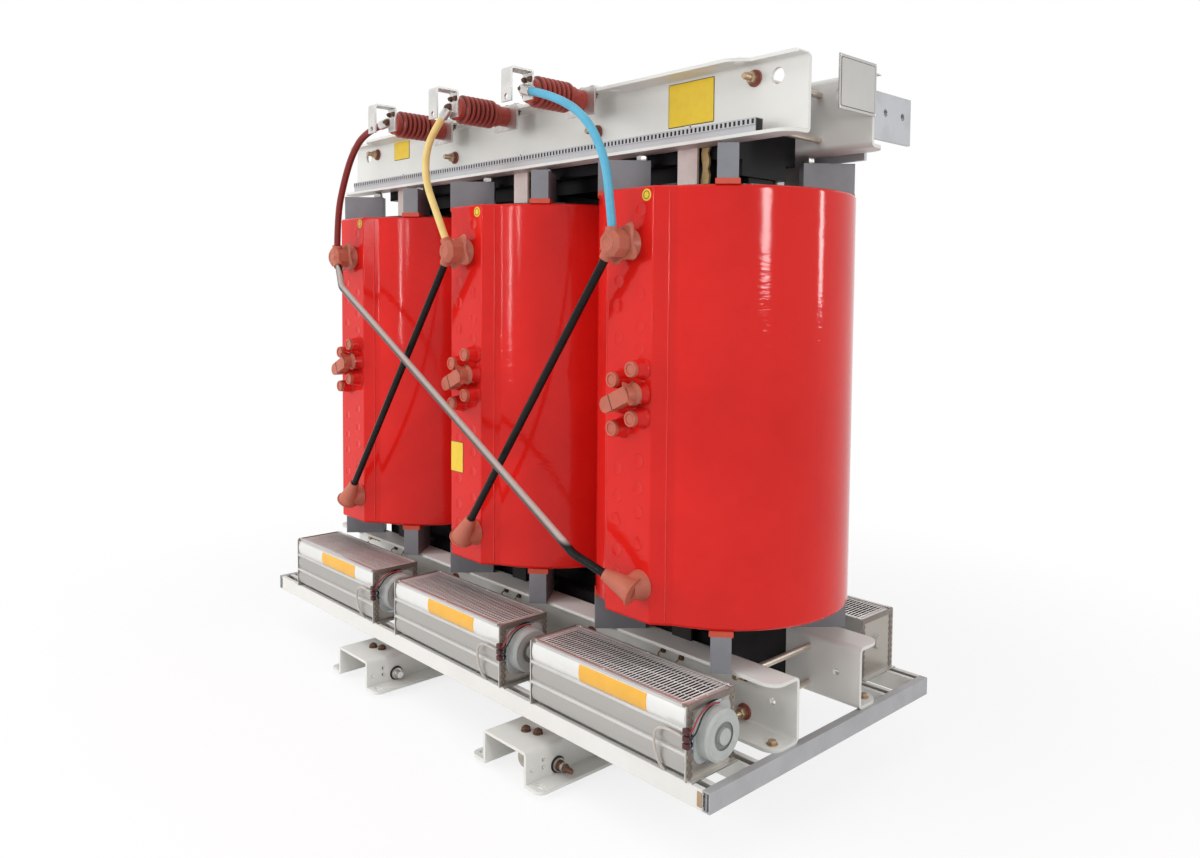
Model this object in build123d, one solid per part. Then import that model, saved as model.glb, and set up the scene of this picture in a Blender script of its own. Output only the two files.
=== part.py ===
"""Cast-resin dry power transformer on a wheeled base, with six cross-flow fans.

Millimetres. X runs along the row of coils, -Y is the high-voltage front, Z is up and
Z = 0 is the floor under the wheels.
"""
import os
from math import atan2, degrees, radians, sin, sqrt, tan

from build123d import *

os.makedirs("parts", exist_ok=True)

# Shared clearances
RUN_GAP = 0.3
MOVE_GAP = 5.0
AIR_GAP = 6.0
CUT_OVER = 2.0
NEAR = 0.05

# Wheels and trolleys
WHEEL_R = 44.0
WHEEL_W = 64.0
WHEEL_SIDE_GAP = 27.0
WHEEL_HUB_R = 23.0
WHEEL_DISH = 4.0
WHEEL_RIM = 10.0
WHEEL_CHAMFER = 2.5
AXLE_R = 10.0
AXLE_FIT = 0.05
AXLE_INSET = 95.0
AXLE_END = 26.0
AXLE_HEAD_R = 16.0
AXLE_HEAD_T = 8.0
TROLLEY_X = 374.0
TROLLEY_HALF_LENGTH = 472.0
TROLLEY_HAT_W = 170.0
TROLLEY_HAT_H = 84.0
TROLLEY_T = 8.0
TROLLEY_BEND = 12.0
TROLLEY_FLANGE = 53.0
SLOT_W = 14.0
SLOT_L = 30.0
SLOT_INSET = 22.0
FLANGE_CORNER = 20.0
SPARE_HOLE_R = 5.0
SPARE_DY = 42.0
SPARE_RISE = 15.0
SPARE_DZ = 9.5
END_HOLE_INSET = 18.0
END_HOLE_RISE = 10.0
TROLLEY_CLEAR = 2 * WHEEL_R + MOVE_GAP + TROLLEY_T - TROLLEY_HAT_H
TROLLEY_TOP_Z = TROLLEY_CLEAR + TROLLEY_HAT_H
AXLE_Y = TROLLEY_HALF_LENGTH - AXLE_INSET
WHEEL_X = TROLLEY_HAT_W / 2 - TROLLEY_T - WHEEL_SIDE_GAP - WHEEL_W / 2

# Windings, measured outward from the core limb
LIMB_R = 118.0
LIMB_STEP_SHARES = (0.92, 0.76, 0.52)
LIMB_GAP = 32.0
LV_WALL = 64.0
HV_DUCT = 32.0
HV_WALL = 66.0
HV_H = 973.0
HV_FLAT_PROUD = 14.0
HV_FLAT_HALF_W = 71.0
HV_BOSS_HALF_W = 112.0
HV_BLEND_R = 26.0
HV_NOSE_R = 7.0
HV_EDGE_R = 7.0
COIL_GAP = 16.0
LV_IN_R = LIMB_R + LIMB_GAP
LV_OUT_R = LV_IN_R + LV_WALL
HV_IN_R = LV_OUT_R + HV_DUCT
HV_OUT_R = HV_IN_R + HV_WALL
HV_FLAT_Y = HV_OUT_R + HV_FLAT_PROUD
PHASE_PITCH = 2 * HV_OUT_R + COIL_GAP

# Clamps along both sides of the yokes
CLAMP_REACH = 332.0
CLAMP_T = 8.0
CLAMP_BEND = 14.0
YOKE_COVER = 2.0
LOWER_CLAMP_H = 150.0
LOWER_FLANGE = 80.0
LOWER_FLANGE_CORNER = 34.0
UPPER_CLAMP_H = 175.0
UPPER_FLANGE = 62.0
UPPER_FLANGE_NARROW = 30.0
UPPER_TAPER_INSET = 134.0
UPPER_TAPER_RUN = 40.0
UPPER_TAPER_R = 30.0
UPPER_TIP_R = 44.0
WEB_CORNER = 16.0
LIFT_INSET = 82.0
LIFT_R = 17.5
LIFT_DROP = 42.0
WEB_HOLE_R = 8.0
WEB_HOLE_INSET = 66.0
CLAMP_HALF_LENGTH = PHASE_PITCH + CLAMP_REACH
YOKE_HALF_Y = LIMB_R + YOKE_COVER
CLAMP_WEB_Y = YOKE_HALF_Y + CLAMP_T

# Fans
FAN_SPACE = 129.0
FRONT_FAN_SHIFT = 44.0
FAN_L = 496.0
FAN_D = 145.0
FAN_H = 157.0
FAN_FOOT = 12.0
FAN_WALL = 2.5
FAN_LIP_R = 9.0
FAN_END_T = 3.0
FAN_END_LIP = 16.0
FAN_RIDGE_R = 5.0
FAN_RIDGE_SHARES = (0.3, 0.64)
GRILLE_T = 2.0
GRILLE_OPEN_W = 104.0
GRILLE_ROWS = 2
GRILLE_ROW_GAP = 12.0
GRILLE_SLOTS = 44
GRILLE_SLOT_SHARE = 0.5
GRILLE_END = 20.0
MOTOR_R = 54.0
MOTOR_T = 30.0
MOTOR_RIM = 5.0
MOTOR_BASE_T = 4.0
MOTOR_BASE_W = 112.0
MOTOR_BASE_CORNER = 22.0
MOTOR_DISH_R = 42.0
MOTOR_DISH = 3.0
MOTOR_HUB_R = 17.0
MOTOR_HUB_L = 4.0
BOSS_R = 17.0
BOSS_L = 9.0
FAN_PITCH = FAN_L + FAN_SPACE

# Fan frame rails, open slot upward
RAIL_RISE = 49.0
RAIL_W = 41.0
RAIL_H = 43.0
RAIL_T = 3.0
RAIL_LIP = 9.0
END_RAIL_W = 20.0
END_LAP = 9.0
FRAME_GAP = 37.0
FAN_LAP = 7.0
RAIL_Z = TROLLEY_TOP_Z + RAIL_RISE
RAIL_TOP_Z = RAIL_Z + RAIL_H
FRAME_HALF_X = CLAMP_HALF_LENGTH + END_LAP
INNER_RAIL_Y = CLAMP_WEB_Y + LOWER_FLANGE + FRAME_GAP + RAIL_W
FRAME_HALF_Y = INNER_RAIL_Y - FAN_LAP + FAN_D
FOOT_LENGTH = 120.0
FOOT_T = 10.0

# Heights, from the lower clamp up through the coils to the upper clamp
LOW_BLOCK_H = 80.0
TOP_BLOCK_H = 75.0
PAD_T = 12.0
SCREW_L = 18.0
LV_TO_YOKE = 18.0
LV_TO_TOP_YOKE = 27.0
YOKE_H = 236.0
YOKE_STEP = 38.0
LOWER_CLAMP_TOP_Z = RAIL_TOP_Z + LOWER_CLAMP_H
HV_Z0 = LOWER_CLAMP_TOP_Z + LOW_BLOCK_H + PAD_T
HV_Z1 = HV_Z0 + HV_H
LOWER_YOKE_Z = HV_Z0 - PAD_T - LV_TO_YOKE - YOKE_H
UPPER_YOKE_Z = HV_Z1 + PAD_T + LV_TO_TOP_YOKE
UPPER_CLAMP_Z = HV_Z1 + PAD_T + TOP_BLOCK_H + SCREW_L
UPPER_CLAMP_TOP_Z = UPPER_CLAMP_Z + UPPER_CLAMP_H

# Tie rods, tie plates and coil supports
TIE_ROD_R = 8.0
TIE_ROD_OUT = 70.0
TIE_ROD_SHARES = (0.18, 0.78)
TIE_PLATE_W = 62.0
TIE_PLATE_T = 7.0
BLOCK_PROUD = 2.0
BLOCK_W = 46.0
PAD_MARGIN = 4.0
BLOCK_TURN = 49.0
SCREW_R = 9.0
SCREW_IN = 28.0

# High-voltage taps, covers and delta bars
TAP_RISE = 503.0
TAP_SHIFT = 12.0
TAP_PITCH_X = 60.0
TAP_PITCH_Z = 54.5
TAP_STAGGER = 27.0
TAP_ROWS = 3
TAP_BASE_R = 18.5
TAP_END_R = 16.5
TAP_L = 38.0
TAP_LINKED_L = 26.0
TAP_DISH_R = 11.0
TAP_DISH = 2.5
LINK_R = 18.0
LINK_T = 30.0
LINK_FLARE = 8.0
LINK_FLARE_L = 8.0
TOP_CAP_DROP = 126.0
LOW_CAP_RISE = 85.0
LOW_CAP_SHIFT = 42.0
LOW_CAP_OUT = 38.0
COLLAR_R = 35.0
COLLAR_NECK_R = 24.0
COLLAR_L = 20.0
CAP_R = 30.0
CAP_D = 50.0
CAP_BAR_IN = 18.0
CAP_SIDES = 8
CAP_CHAMFER = 8.0
SLEEVE_R = 18.0
SLEEVE_END_R = 14.0
SLEEVE_L = 42.0
BELL_R = 30.0
BELL_END_R = 14.0
BELL_L = 64.0
BELL_PAST = 16.0
BELL_RIM = 3.0
BAR_R = 10.0
BAR_SINK = 16.0
LONG_BAR_OUT = 28.0
LONG_BAR_DROP_X = 83.0
LONG_BAR_DROP_Z = 95.0
LONG_BAR_RISE_X = 136.0
LONG_BAR_RISE_Z = 58.0
LONG_BAR_BEND = 50.0

# Post insulators, line terminals and line leads
POST_DROP = 25.0
POST_BASE_L = 32.0
POST_L = 134.0
POST_R = 38.0
POST_CORE_R = 31.0
POST_BASE_R = 27.0
POST_END_L = 15.0
POST_RIBS = 7
POST_PLATE_W = 104.0
POST_PLATE_T = 6.0
POST_PLATE_H = 64.0
POST_FOOT_D = 46.0
TERM_W = 38.0
TERM_T = 5.0
TERM_BEND = 9.0
TERM_D = 70.0
TERM_UP = 46.0
TERM_DOWN = 36.0
TERM_BACK_DOWN = 24.0
TERM_HOLE_R = 7.0
TERM_HOLE_DROP = 12.0
LEAD_R = 10.0
LEAD_FIT_SHARE = 0.45
LUG_WALL = 3.0
LUG_L = 34.0
LUG_PALM = 26.0
LEAD_SINK = 10.0
NECK_WALL = 5.0
NECK_L = 37.0

# Wiring duct and blank plate on the upper clamps
DUCT_INSET = 92.0
DUCT_W = 26.0
DUCT_H = 30.0
DUCT_T = 2.0
PLATE_W = 148.0
PLATE_H = 119.0
PLATE_T = 3.0
PLATE_RISE = 12.0

# Low-voltage terminals at the rear
LV_BAR_T = 10.0
LV_FOOT_IN = 12.0
LV_FOOT_D = 50.0
LV_SHIFT = 60.0
LV_ARM_RISE = 23.0
LV_ARM_H = 44.0
LV_FLAG_GAP = 57.0
LV_FLAG_W = 158.0
LV_FLAG_H = 115.0
LV_FLAG_DROP = 19.0
LV_HOLE_R = 9.0
LV_HOLE_PITCH = 80.0
LV_HOLE_DROP = 48.0
NEUTRAL_RISE = 10.0
NEUTRAL_H = 40.0
NEUTRAL_END = 265.0
NEUTRAL_STRAP_W = 60.0
NEUTRAL_SUPPORT_W = 44.0

SIDES = (-1, 1)
PHASES = (-1, 0, 1)
PHASE_NAMES = {-1: "left", 0: "middle", 1: "right"}
FROM_BASE = (Align.CENTER, Align.CENTER, Align.MIN)


def block(x0, x1, y0, y1, z0, z1):
    """Box between two corners."""
    size = Box(x1 - x0, y1 - y0, z1 - z0, align=(Align.MIN, Align.MIN, Align.MIN))
    return Pos(x0, y0, z0) * size


def rod(start, end, radius):
    """Round bar between two points."""
    run = Vector(*end) - Vector(*start)
    plane = Plane(origin=start, z_dir=run.normalized())
    return plane * Cylinder(radius, run.length, align=FROM_BASE)


def cone_bar(start, end, r0, r1):
    """Tapered round bar between two points."""
    run = Vector(*end) - Vector(*start)
    plane = Plane(origin=start, z_dir=run.normalized())
    return plane * Cone(r0, r1, run.length, align=FROM_BASE)


def toward(start, end, distance):
    """Point a distance from start on the way to end."""
    run = Vector(*end) - Vector(*start)
    return tuple(Vector(*start) + run.normalized() * distance)


def mirrored_y(shape):
    """The same piece on the other long side."""
    return mirror(shape, about=Plane.XZ)


def turned(shape):
    """The same piece turned half a turn about the vertical."""
    return Rot(0, 0, 180) * shape


def save(shape, node):
    export_step(shape, f"parts/{node}.step")


def together(pieces):
    """Like pieces that share one node."""
    return Compound(children=[solid for piece in pieces for solid in piece.solids()])


# Trolleys: two bent hat channels, each with two wheels beside its right leg
def trolley(x):
    hat = TROLLEY_HAT_W / 2
    tip = hat + TROLLEY_FLANGE
    low = TROLLEY_CLEAR
    top = TROLLEY_TOP_Z
    outline = [
        (-tip, low), (-hat + TROLLEY_T, low), (-hat + TROLLEY_T, top - TROLLEY_T),
        (hat - TROLLEY_T, top - TROLLEY_T), (hat - TROLLEY_T, low), (tip, low),
        (tip, low + TROLLEY_T), (hat, low + TROLLEY_T), (hat, top), (-hat, top),
        (-hat, low + TROLLEY_T), (-tip, low + TROLLEY_T),
    ]
    face = make_face(Polyline(*outline, close=True))
    face = fillet([v for v in face.vertices() if abs(v.Y - top) < NEAR], TROLLEY_BEND)
    body = extrude(Plane.XZ * face, amount=TROLLEY_HALF_LENGTH, both=True)
    corners = [e for e in body.edges().filter_by(Axis.Z) if abs(abs(e.center().X) - tip) < NEAR]
    body = fillet(corners, FLANGE_CORNER)
    for side in SIDES:
        y_axle = side * AXLE_Y
        body -= rod((-tip, y_axle, WHEEL_R), (tip, y_axle, WHEEL_R), AXLE_R + RUN_GAP)
        at_z = WHEEL_R + SPARE_RISE
        holes = [(y_axle + side * SPARE_DY, at_z + up * SPARE_DZ) for up in SIDES]
        holes.append((side * (TROLLEY_HALF_LENGTH - END_HOLE_INSET), WHEEL_R + END_HOLE_RISE))
        for at_y, at_z in holes:
            body -= rod((0, at_y, at_z), (tip, at_y, at_z), SPARE_HOLE_R)
        for flange in SIDES:
            cut = extrude(SlotOverall(SLOT_L, SLOT_W), amount=TROLLEY_T + CUT_OVER)
            at_x = flange * (hat + TROLLEY_FLANGE / 2)
            body -= Pos(at_x, side * (TROLLEY_HALF_LENGTH - SLOT_INSET), low - CUT_OVER / 2) * cut
    return Pos(x, 0, 0) * body


def wheel(x, y):
    half = WHEEL_W / 2
    hub = half - AXLE_FIT
    web = half - WHEEL_DISH
    bore = AXLE_R + AXLE_FIT
    rim_in = WHEEL_R - WHEEL_RIM
    edge = WHEEL_R - WHEEL_CHAMFER
    side = [(bore, hub), (WHEEL_HUB_R, hub), (WHEEL_HUB_R, web), (rim_in, web), (rim_in, half), (edge, half)]
    rim = [(WHEEL_R, half - WHEEL_CHAMFER)]
    profile = [(r, -w) for r, w in side + rim] + [(r, w) for r, w in reversed(side + rim)]
    solid = revolve(make_face(Polyline(*profile, close=True)), Axis.Y)
    return Pos(x, y, WHEEL_R) * (Rot(0, 0, -90) * solid)


def axle(x, y):
    left = x - TROLLEY_HAT_W / 2
    right = x + TROLLEY_HAT_W / 2
    pin = rod((left - AXLE_HEAD_T, y, WHEEL_R), (right + AXLE_END, y, WHEEL_R), AXLE_R)
    head = rod((left - AXLE_HEAD_T, y, WHEEL_R), (left, y, WHEEL_R), AXLE_HEAD_R)
    nut = rod((right, y, WHEEL_R), (right + AXLE_HEAD_T, y, WHEEL_R), AXLE_HEAD_R)
    return pin + head + nut


for name, x_side in (("left", -1), ("right", 1)):
    save(trolley(x_side * TROLLEY_X), f"trolley_{name}")
    for end, y_side in (("front", -1), ("rear", 1)):
        save(wheel(x_side * TROLLEY_X + WHEEL_X, y_side * AXLE_Y), f"wheel_{end}_{name}")
save(together([axle(sx * TROLLEY_X, sy * AXLE_Y) for sx in SIDES for sy in SIDES]), "wheel_axles")


# Feet: folded blocks between the trolleys and the lower clamps
def foot(x):
    half = FOOT_LENGTH / 2
    inner = half - FOOT_T
    y0 = CLAMP_WEB_Y
    y1 = CLAMP_WEB_Y + LOWER_FLANGE - FOOT_T
    low = TROLLEY_TOP_Z
    body = block(x - half, x + half, y0, y1, low, RAIL_TOP_Z)
    return body - block(
        x - inner, x + inner, y0 - CUT_OVER, y1 + CUT_OVER, low + FOOT_T, RAIL_TOP_Z - FOOT_T
    )


feet = [foot(side * TROLLEY_X) for side in SIDES]
save(together(feet + [mirrored_y(piece) for piece in feet]), "trolley_feet")


# Fan frame: lipped channels, open upward, between two narrow end channels
def rail_section():
    face = Rectangle(RAIL_W, RAIL_H, align=(Align.CENTER, Align.MIN))
    inside = Rectangle(RAIL_W - 2 * RAIL_T, RAIL_H - 2 * RAIL_T, align=(Align.CENTER, Align.MIN))
    mouth = Rectangle(RAIL_W - 2 * RAIL_T - 2 * RAIL_LIP, RAIL_H, align=(Align.CENTER, Align.MIN))
    return face - Pos(0, RAIL_T) * inside - Pos(0, RAIL_T) * mouth


def long_rail(y):
    body = extrude(Plane.YZ * rail_section(), amount=FRAME_HALF_X - END_RAIL_W, both=True)
    return Pos(0, y, RAIL_Z) * body


def end_rail():
    outer = Rectangle(END_RAIL_W, RAIL_H, align=(Align.MIN, Align.MIN))
    inner = Rectangle(END_RAIL_W, RAIL_H - 2 * RAIL_T, align=(Align.MIN, Align.MIN))
    lips = Rectangle(RAIL_T, RAIL_H, align=(Align.MIN, Align.MIN))
    mouth = Rectangle(RAIL_T, RAIL_H - 2 * RAIL_LIP, align=(Align.MIN, Align.MIN))
    section = outer - Pos(RAIL_T, RAIL_T) * inner
    section += Pos(END_RAIL_W - RAIL_T, 0) * (lips - Pos(0, RAIL_LIP) * mouth)
    body = extrude(Plane.XZ * section, amount=FRAME_HALF_Y, both=True)
    return Pos(-FRAME_HALF_X, 0, RAIL_Z) * body


front_rails = [long_rail(-FRAME_HALF_Y + RAIL_W / 2), long_rail(-INNER_RAIL_Y + RAIL_W / 2)]
save(together(front_rails + [mirrored_y(rail) for rail in front_rails]), "long_rails")
save(together([end_rail(), turned(end_rail())]), "end_rails")


# Core: stepped limbs between two stepped yokes
def limb(x):
    steps = []
    for share in LIMB_STEP_SHARES:
        half_x = LIMB_R * share
        half_y = sqrt(LIMB_R ** 2 - half_x ** 2)
        steps.append(block(x - half_x, x + half_x, -half_y, half_y, LOWER_YOKE_Z + YOKE_H, UPPER_YOKE_Z))
    return steps


def yoke(z0):
    end = PHASE_PITCH + LIMB_R
    wide = block(-end, end, -YOKE_HALF_Y, YOKE_HALF_Y, z0 + YOKE_STEP, z0 + YOKE_H - YOKE_STEP)
    tall_y = YOKE_HALF_Y - YOKE_STEP
    return wide + block(-end, end, -tall_y, tall_y, z0, z0 + YOKE_H)


core = yoke(LOWER_YOKE_Z) + yoke(UPPER_YOKE_Z)
for k in PHASES:
    core += limb(k * PHASE_PITCH)
save(core, "core")


# Clamps: folded channels along the front, with rounded bends and shaped flange ends
def channel(z0, height, flange):
    """Channel with its web against the yoke and its flanges to the front."""
    outer = -CLAMP_WEB_Y - flange
    z1 = z0 + height
    outline = [
        (-YOKE_HALF_Y, z0), (-YOKE_HALF_Y, z1), (outer, z1), (outer, z1 - CLAMP_T),
        (-CLAMP_WEB_Y, z1 - CLAMP_T), (-CLAMP_WEB_Y, z0 + CLAMP_T), (outer, z0 + CLAMP_T), (outer, z0),
    ]
    face = make_face(Polyline(*outline, close=True))
    face = fillet([v for v in face.vertices() if abs(v.X + YOKE_HALF_Y) < NEAR], CLAMP_BEND)
    inner = [v for v in face.vertices() if abs(v.X + CLAMP_WEB_Y) < NEAR]
    face = fillet(inner, CLAMP_BEND - CLAMP_T)
    return extrude(Plane.YZ * face, amount=CLAMP_HALF_LENGTH, both=True)


def rounded_front():
    """Front view of the upper clamp, with rounded top corners."""
    front = Rectangle(2 * CLAMP_HALF_LENGTH, UPPER_CLAMP_H, align=(Align.CENTER, Align.MIN))
    front = fillet(front.vertices().group_by(Axis.Y)[-1], WEB_CORNER)
    return Pos(0, 0, UPPER_CLAMP_Z) * extrude(Plane.XZ * front, amount=CLAMP_WEB_Y + UPPER_FLANGE)


def flange_plan(flange, corner):
    """Plan of a flange with rounded ends, back to the yoke."""
    depth = flange + CLAMP_T
    leaf = Rectangle(2 * CLAMP_HALF_LENGTH, depth, align=(Align.CENTER, Align.MIN))
    leaf = fillet([v for v in leaf.vertices() if v.Y < depth / 2], corner)
    return Pos(0, -CLAMP_WEB_Y - flange) * leaf


def tapered_plan():
    """Plan of the upper flange, which narrows near both ends."""
    back = -YOKE_HALF_Y
    wide = -CLAMP_WEB_Y - UPPER_FLANGE
    narrow = -CLAMP_WEB_Y - UPPER_FLANGE_NARROW
    bend0 = CLAMP_HALF_LENGTH - UPPER_TAPER_INSET - UPPER_TAPER_RUN
    bend1 = CLAMP_HALF_LENGTH - UPPER_TAPER_INSET
    right = [(bend0, wide), (bend1, narrow), (CLAMP_HALF_LENGTH, narrow), (CLAMP_HALF_LENGTH, back)]
    left = [(-x, y) for x, y in reversed(right)]
    leaf = make_face(Polyline(*left, *right, close=True))
    bends = [v for v in leaf.vertices() if bend0 - NEAR < abs(v.X) < bend1 + NEAR]
    return fillet(bends, UPPER_TAPER_R)


lower_clamp = channel(RAIL_TOP_Z, LOWER_CLAMP_H, LOWER_FLANGE)
lower_plan = extrude(flange_plan(LOWER_FLANGE, LOWER_FLANGE_CORNER), amount=LOWER_CLAMP_H)
lower_clamp = lower_clamp & Pos(0, 0, RAIL_TOP_Z) * lower_plan
upper_channel = channel(UPPER_CLAMP_Z, UPPER_CLAMP_H, UPPER_FLANGE) & rounded_front()
upper_half = UPPER_CLAMP_H / 2
taper_plan = extrude(tapered_plan(), amount=upper_half)
upper_clamp = upper_channel & Pos(0, 0, UPPER_CLAMP_Z + upper_half) * taper_plan
tip_plan = extrude(flange_plan(UPPER_FLANGE, UPPER_TIP_R), amount=upper_half)
upper_clamp += upper_channel & Pos(0, 0, UPPER_CLAMP_Z) * tip_plan
web_front = -CLAMP_WEB_Y - CUT_OVER
web_back = -YOKE_HALF_Y + CUT_OVER
lift_z = UPPER_CLAMP_TOP_Z - LIFT_DROP
web_hole_z = RAIL_TOP_Z + LOWER_CLAMP_H / 2
for side in SIDES:
    lift_x = side * (CLAMP_HALF_LENGTH - LIFT_INSET)
    upper_clamp -= rod((lift_x, web_front, lift_z), (lift_x, web_back, lift_z), LIFT_R)
    hole_x = side * (CLAMP_HALF_LENGTH - WEB_HOLE_INSET)
    lower_clamp -= rod((hole_x, web_front, web_hole_z), (hole_x, web_back, web_hole_z), WEB_HOLE_R)
save(lower_clamp, "lower_clamp_front")
save(mirrored_y(lower_clamp), "lower_clamp_rear")
save(upper_clamp, "upper_clamp_front")
save(mirrored_y(upper_clamp), "upper_clamp_rear")


def tie_rods(z0, height):
    """Rods that pull the two clamps together past the ends of the yoke."""
    out = PHASE_PITCH + LIMB_R + TIE_ROD_OUT
    rods = []
    for side in SIDES:
        for share in TIE_ROD_SHARES:
            z = z0 + share * height
            rods.append(rod((side * out, -YOKE_HALF_Y, z), (side * out, YOKE_HALF_Y, z), TIE_ROD_R))
    return rods


save(together(tie_rods(RAIL_TOP_Z, LOWER_CLAMP_H) + tie_rods(UPPER_CLAMP_Z, UPPER_CLAMP_H)), "tie_rods")


def tie_plate(x):
    half = TIE_PLATE_W / 2
    y1 = -YOKE_HALF_Y - CLAMP_BEND
    return block(x - half, x + half, y1 - TIE_PLATE_T, y1, LOWER_CLAMP_TOP_Z, UPPER_CLAMP_Z)


plates = [tie_plate(k * PHASE_PITCH) for k in PHASES]
save(together(plates + [mirrored_y(plate) for plate in plates]), "tie_plates")


# Windings: an inner low-voltage coil and an outer cast high-voltage coil with a flat front boss
def lv_winding(x):
    length = HV_H + 2 * PAD_T
    outside = Pos(x, 0, HV_Z0 - PAD_T) * Cylinder(LV_OUT_R, length, align=FROM_BASE)
    return outside - Pos(x, 0, HV_Z0 - PAD_T) * Cylinder(LV_IN_R, length, align=FROM_BASE)


def hv_outline():
    y_base = -sqrt(HV_OUT_R ** 2 - HV_BOSS_HALF_W ** 2)
    boss = make_face(Polyline(
        (-HV_BOSS_HALF_W, y_base), (-HV_FLAT_HALF_W, -HV_FLAT_Y),
        (HV_FLAT_HALF_W, -HV_FLAT_Y), (HV_BOSS_HALF_W, y_base), (0, 0), close=True,
    ))
    face = Circle(HV_OUT_R) + boss
    face = fillet([v for v in face.vertices() if abs(v.Y + HV_FLAT_Y) < NEAR], HV_NOSE_R)
    roots = [v for v in face.vertices() if abs(abs(v.X) - HV_BOSS_HALF_W) < NEAR and v.Y < 0]
    return fillet(roots, HV_BLEND_R)


TAP_Z = HV_Z0 + TAP_RISE


def tap_place(x, column, row):
    """Centre of a tap stud; the right column stands higher than the left."""
    middle = (TAP_ROWS - 1) / 2
    z = TAP_Z + column * TAP_STAGGER / 2 + (row - middle) * TAP_PITCH_Z
    return x + TAP_SHIFT + column * TAP_PITCH_X / 2, z


def taps(x):
    """Tap studs; the middle row is shorter, under its link, and the others are dished at the end."""
    studs = []
    for column in SIDES:
        for row in range(TAP_ROWS):
            at_x, at_z = tap_place(x, column, row)
            linked = row == TAP_ROWS // 2
            y_end = -HV_FLAT_Y - (TAP_LINKED_L if linked else TAP_L)
            stud = cone_bar((at_x, -HV_FLAT_Y, at_z), (at_x, y_end, at_z), TAP_BASE_R, TAP_END_R)
            if not linked:
                stud -= rod((at_x, y_end - CUT_OVER, at_z), (at_x, y_end + TAP_DISH, at_z), TAP_DISH_R)
            studs.append(stud)
    return studs


def hv_winding(x):
    coil = Pos(0, 0, HV_Z0) * extrude(hv_outline(), amount=HV_H)
    rims = coil.faces().filter_by(Axis.Z).edges()
    coil = fillet(rims, HV_EDGE_R)
    coil -= Pos(0, 0, HV_Z0) * Cylinder(HV_IN_R, HV_H, align=FROM_BASE)
    return Pos(x, 0, 0) * coil + taps(x)


save(together([lv_winding(k * PHASE_PITCH) for k in PHASES]), "lv_windings")
for k in PHASES:
    save(hv_winding(k * PHASE_PITCH), f"hv_winding_{PHASE_NAMES[k]}")


def tap_link(x):
    """Cover over the middle pair of studs, with a flared end at the right."""
    y0 = -HV_FLAT_Y - TAP_LINKED_L
    row = TAP_ROWS // 2
    left_x, left_z = tap_place(x, -1, row)
    right_x, right_z = tap_place(x, 1, row)
    span = sqrt((right_x - left_x) ** 2 + (right_z - left_z) ** 2)
    tilt = degrees(atan2(right_z - left_z, right_x - left_x))
    bar = extrude(Plane.XZ * SlotCenterToCenter(span, 2 * LINK_R), amount=LINK_T)
    middle = Pos((left_x + right_x) / 2, y0, (left_z + right_z) / 2)
    link = middle * (Rot(0, -tilt, 0) * bar)
    flare = (right_x, y0 - LINK_FLARE_L, right_z)
    return link + cone_bar((right_x, y0, right_z), flare, LINK_R + LINK_FLARE, LINK_R)


save(together([tap_link(k * PHASE_PITCH) for k in PHASES]), "tap_links")

# Coil supports: radial plates with soft pads, on the clamps at four places around each coil
BLOCK_LEAN = radians(BLOCK_TURN)
BLOCK_IN_R = (YOKE_HALF_Y + AIR_GAP) / sin(BLOCK_LEAN) + BLOCK_W / 2 / tan(BLOCK_LEAN)
BLOCK_OUT_R = HV_OUT_R + BLOCK_PROUD
SCREW_AT_R = (CLAMP_WEB_Y + SCREW_IN) / sin(BLOCK_LEAN)


def support_set(z_coil, z_clamp, screws):
    """Pads on the coil end and plates from them to the clamp, with levelling screws at the top."""
    up = 1 if z_clamp > z_coil else -1
    z_pad = z_coil + up * PAD_T
    z_end = z_clamp - up * SCREW_L if screws else z_clamp
    half = BLOCK_W / 2
    soft = half + PAD_MARGIN
    pad = block(HV_IN_R, BLOCK_OUT_R, -soft, soft, min(z_coil, z_pad), max(z_coil, z_pad))
    plate = block(BLOCK_IN_R, BLOCK_OUT_R, -half, half, min(z_pad, z_end), max(z_pad, z_end))
    if screws:
        plate += rod((SCREW_AT_R, 0, z_end), (SCREW_AT_R, 0, z_clamp), SCREW_R)
    places = []
    for k in PHASES:
        for angle in (BLOCK_TURN, 180 - BLOCK_TURN, 180 + BLOCK_TURN, -BLOCK_TURN):
            places.append(Pos(k * PHASE_PITCH, 0, 0) * Rot(0, 0, angle))
    return [place * pad for place in places], [place * plate for place in places]


low_pads, low_blocks = support_set(HV_Z0, LOWER_CLAMP_TOP_Z, False)
top_pads, top_blocks = support_set(HV_Z1, UPPER_CLAMP_Z, True)
save(together(low_pads + top_pads), "support_pads")
save(together(low_blocks + top_blocks), "support_blocks")

# Delta bars: sleeved bars from each top cover to the lower cover of another coil
CAP_Y = -HV_FLAT_Y - COLLAR_L - CAP_D + CAP_BAR_IN
LOW_CAP_Y = -HV_FLAT_Y - LOW_CAP_OUT
TOP_CAPS = {k: (k * PHASE_PITCH, CAP_Y, HV_Z1 - TOP_CAP_DROP) for k in PHASES}
LOW_CAPS = {k: (k * PHASE_PITCH + LOW_CAP_SHIFT, LOW_CAP_Y, HV_Z0 + LOW_CAP_RISE) for k in PHASES}


def path_tube(points, radii, radius):
    """Tube of straight runs and arcs."""
    line = FilletPolyline(*points, radius=radii) if len(points) > 2 else Line(*points)
    start = Plane(origin=line @ 0, z_dir=line % 0)
    return sweep(start * Circle(radius), path=line)


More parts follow.
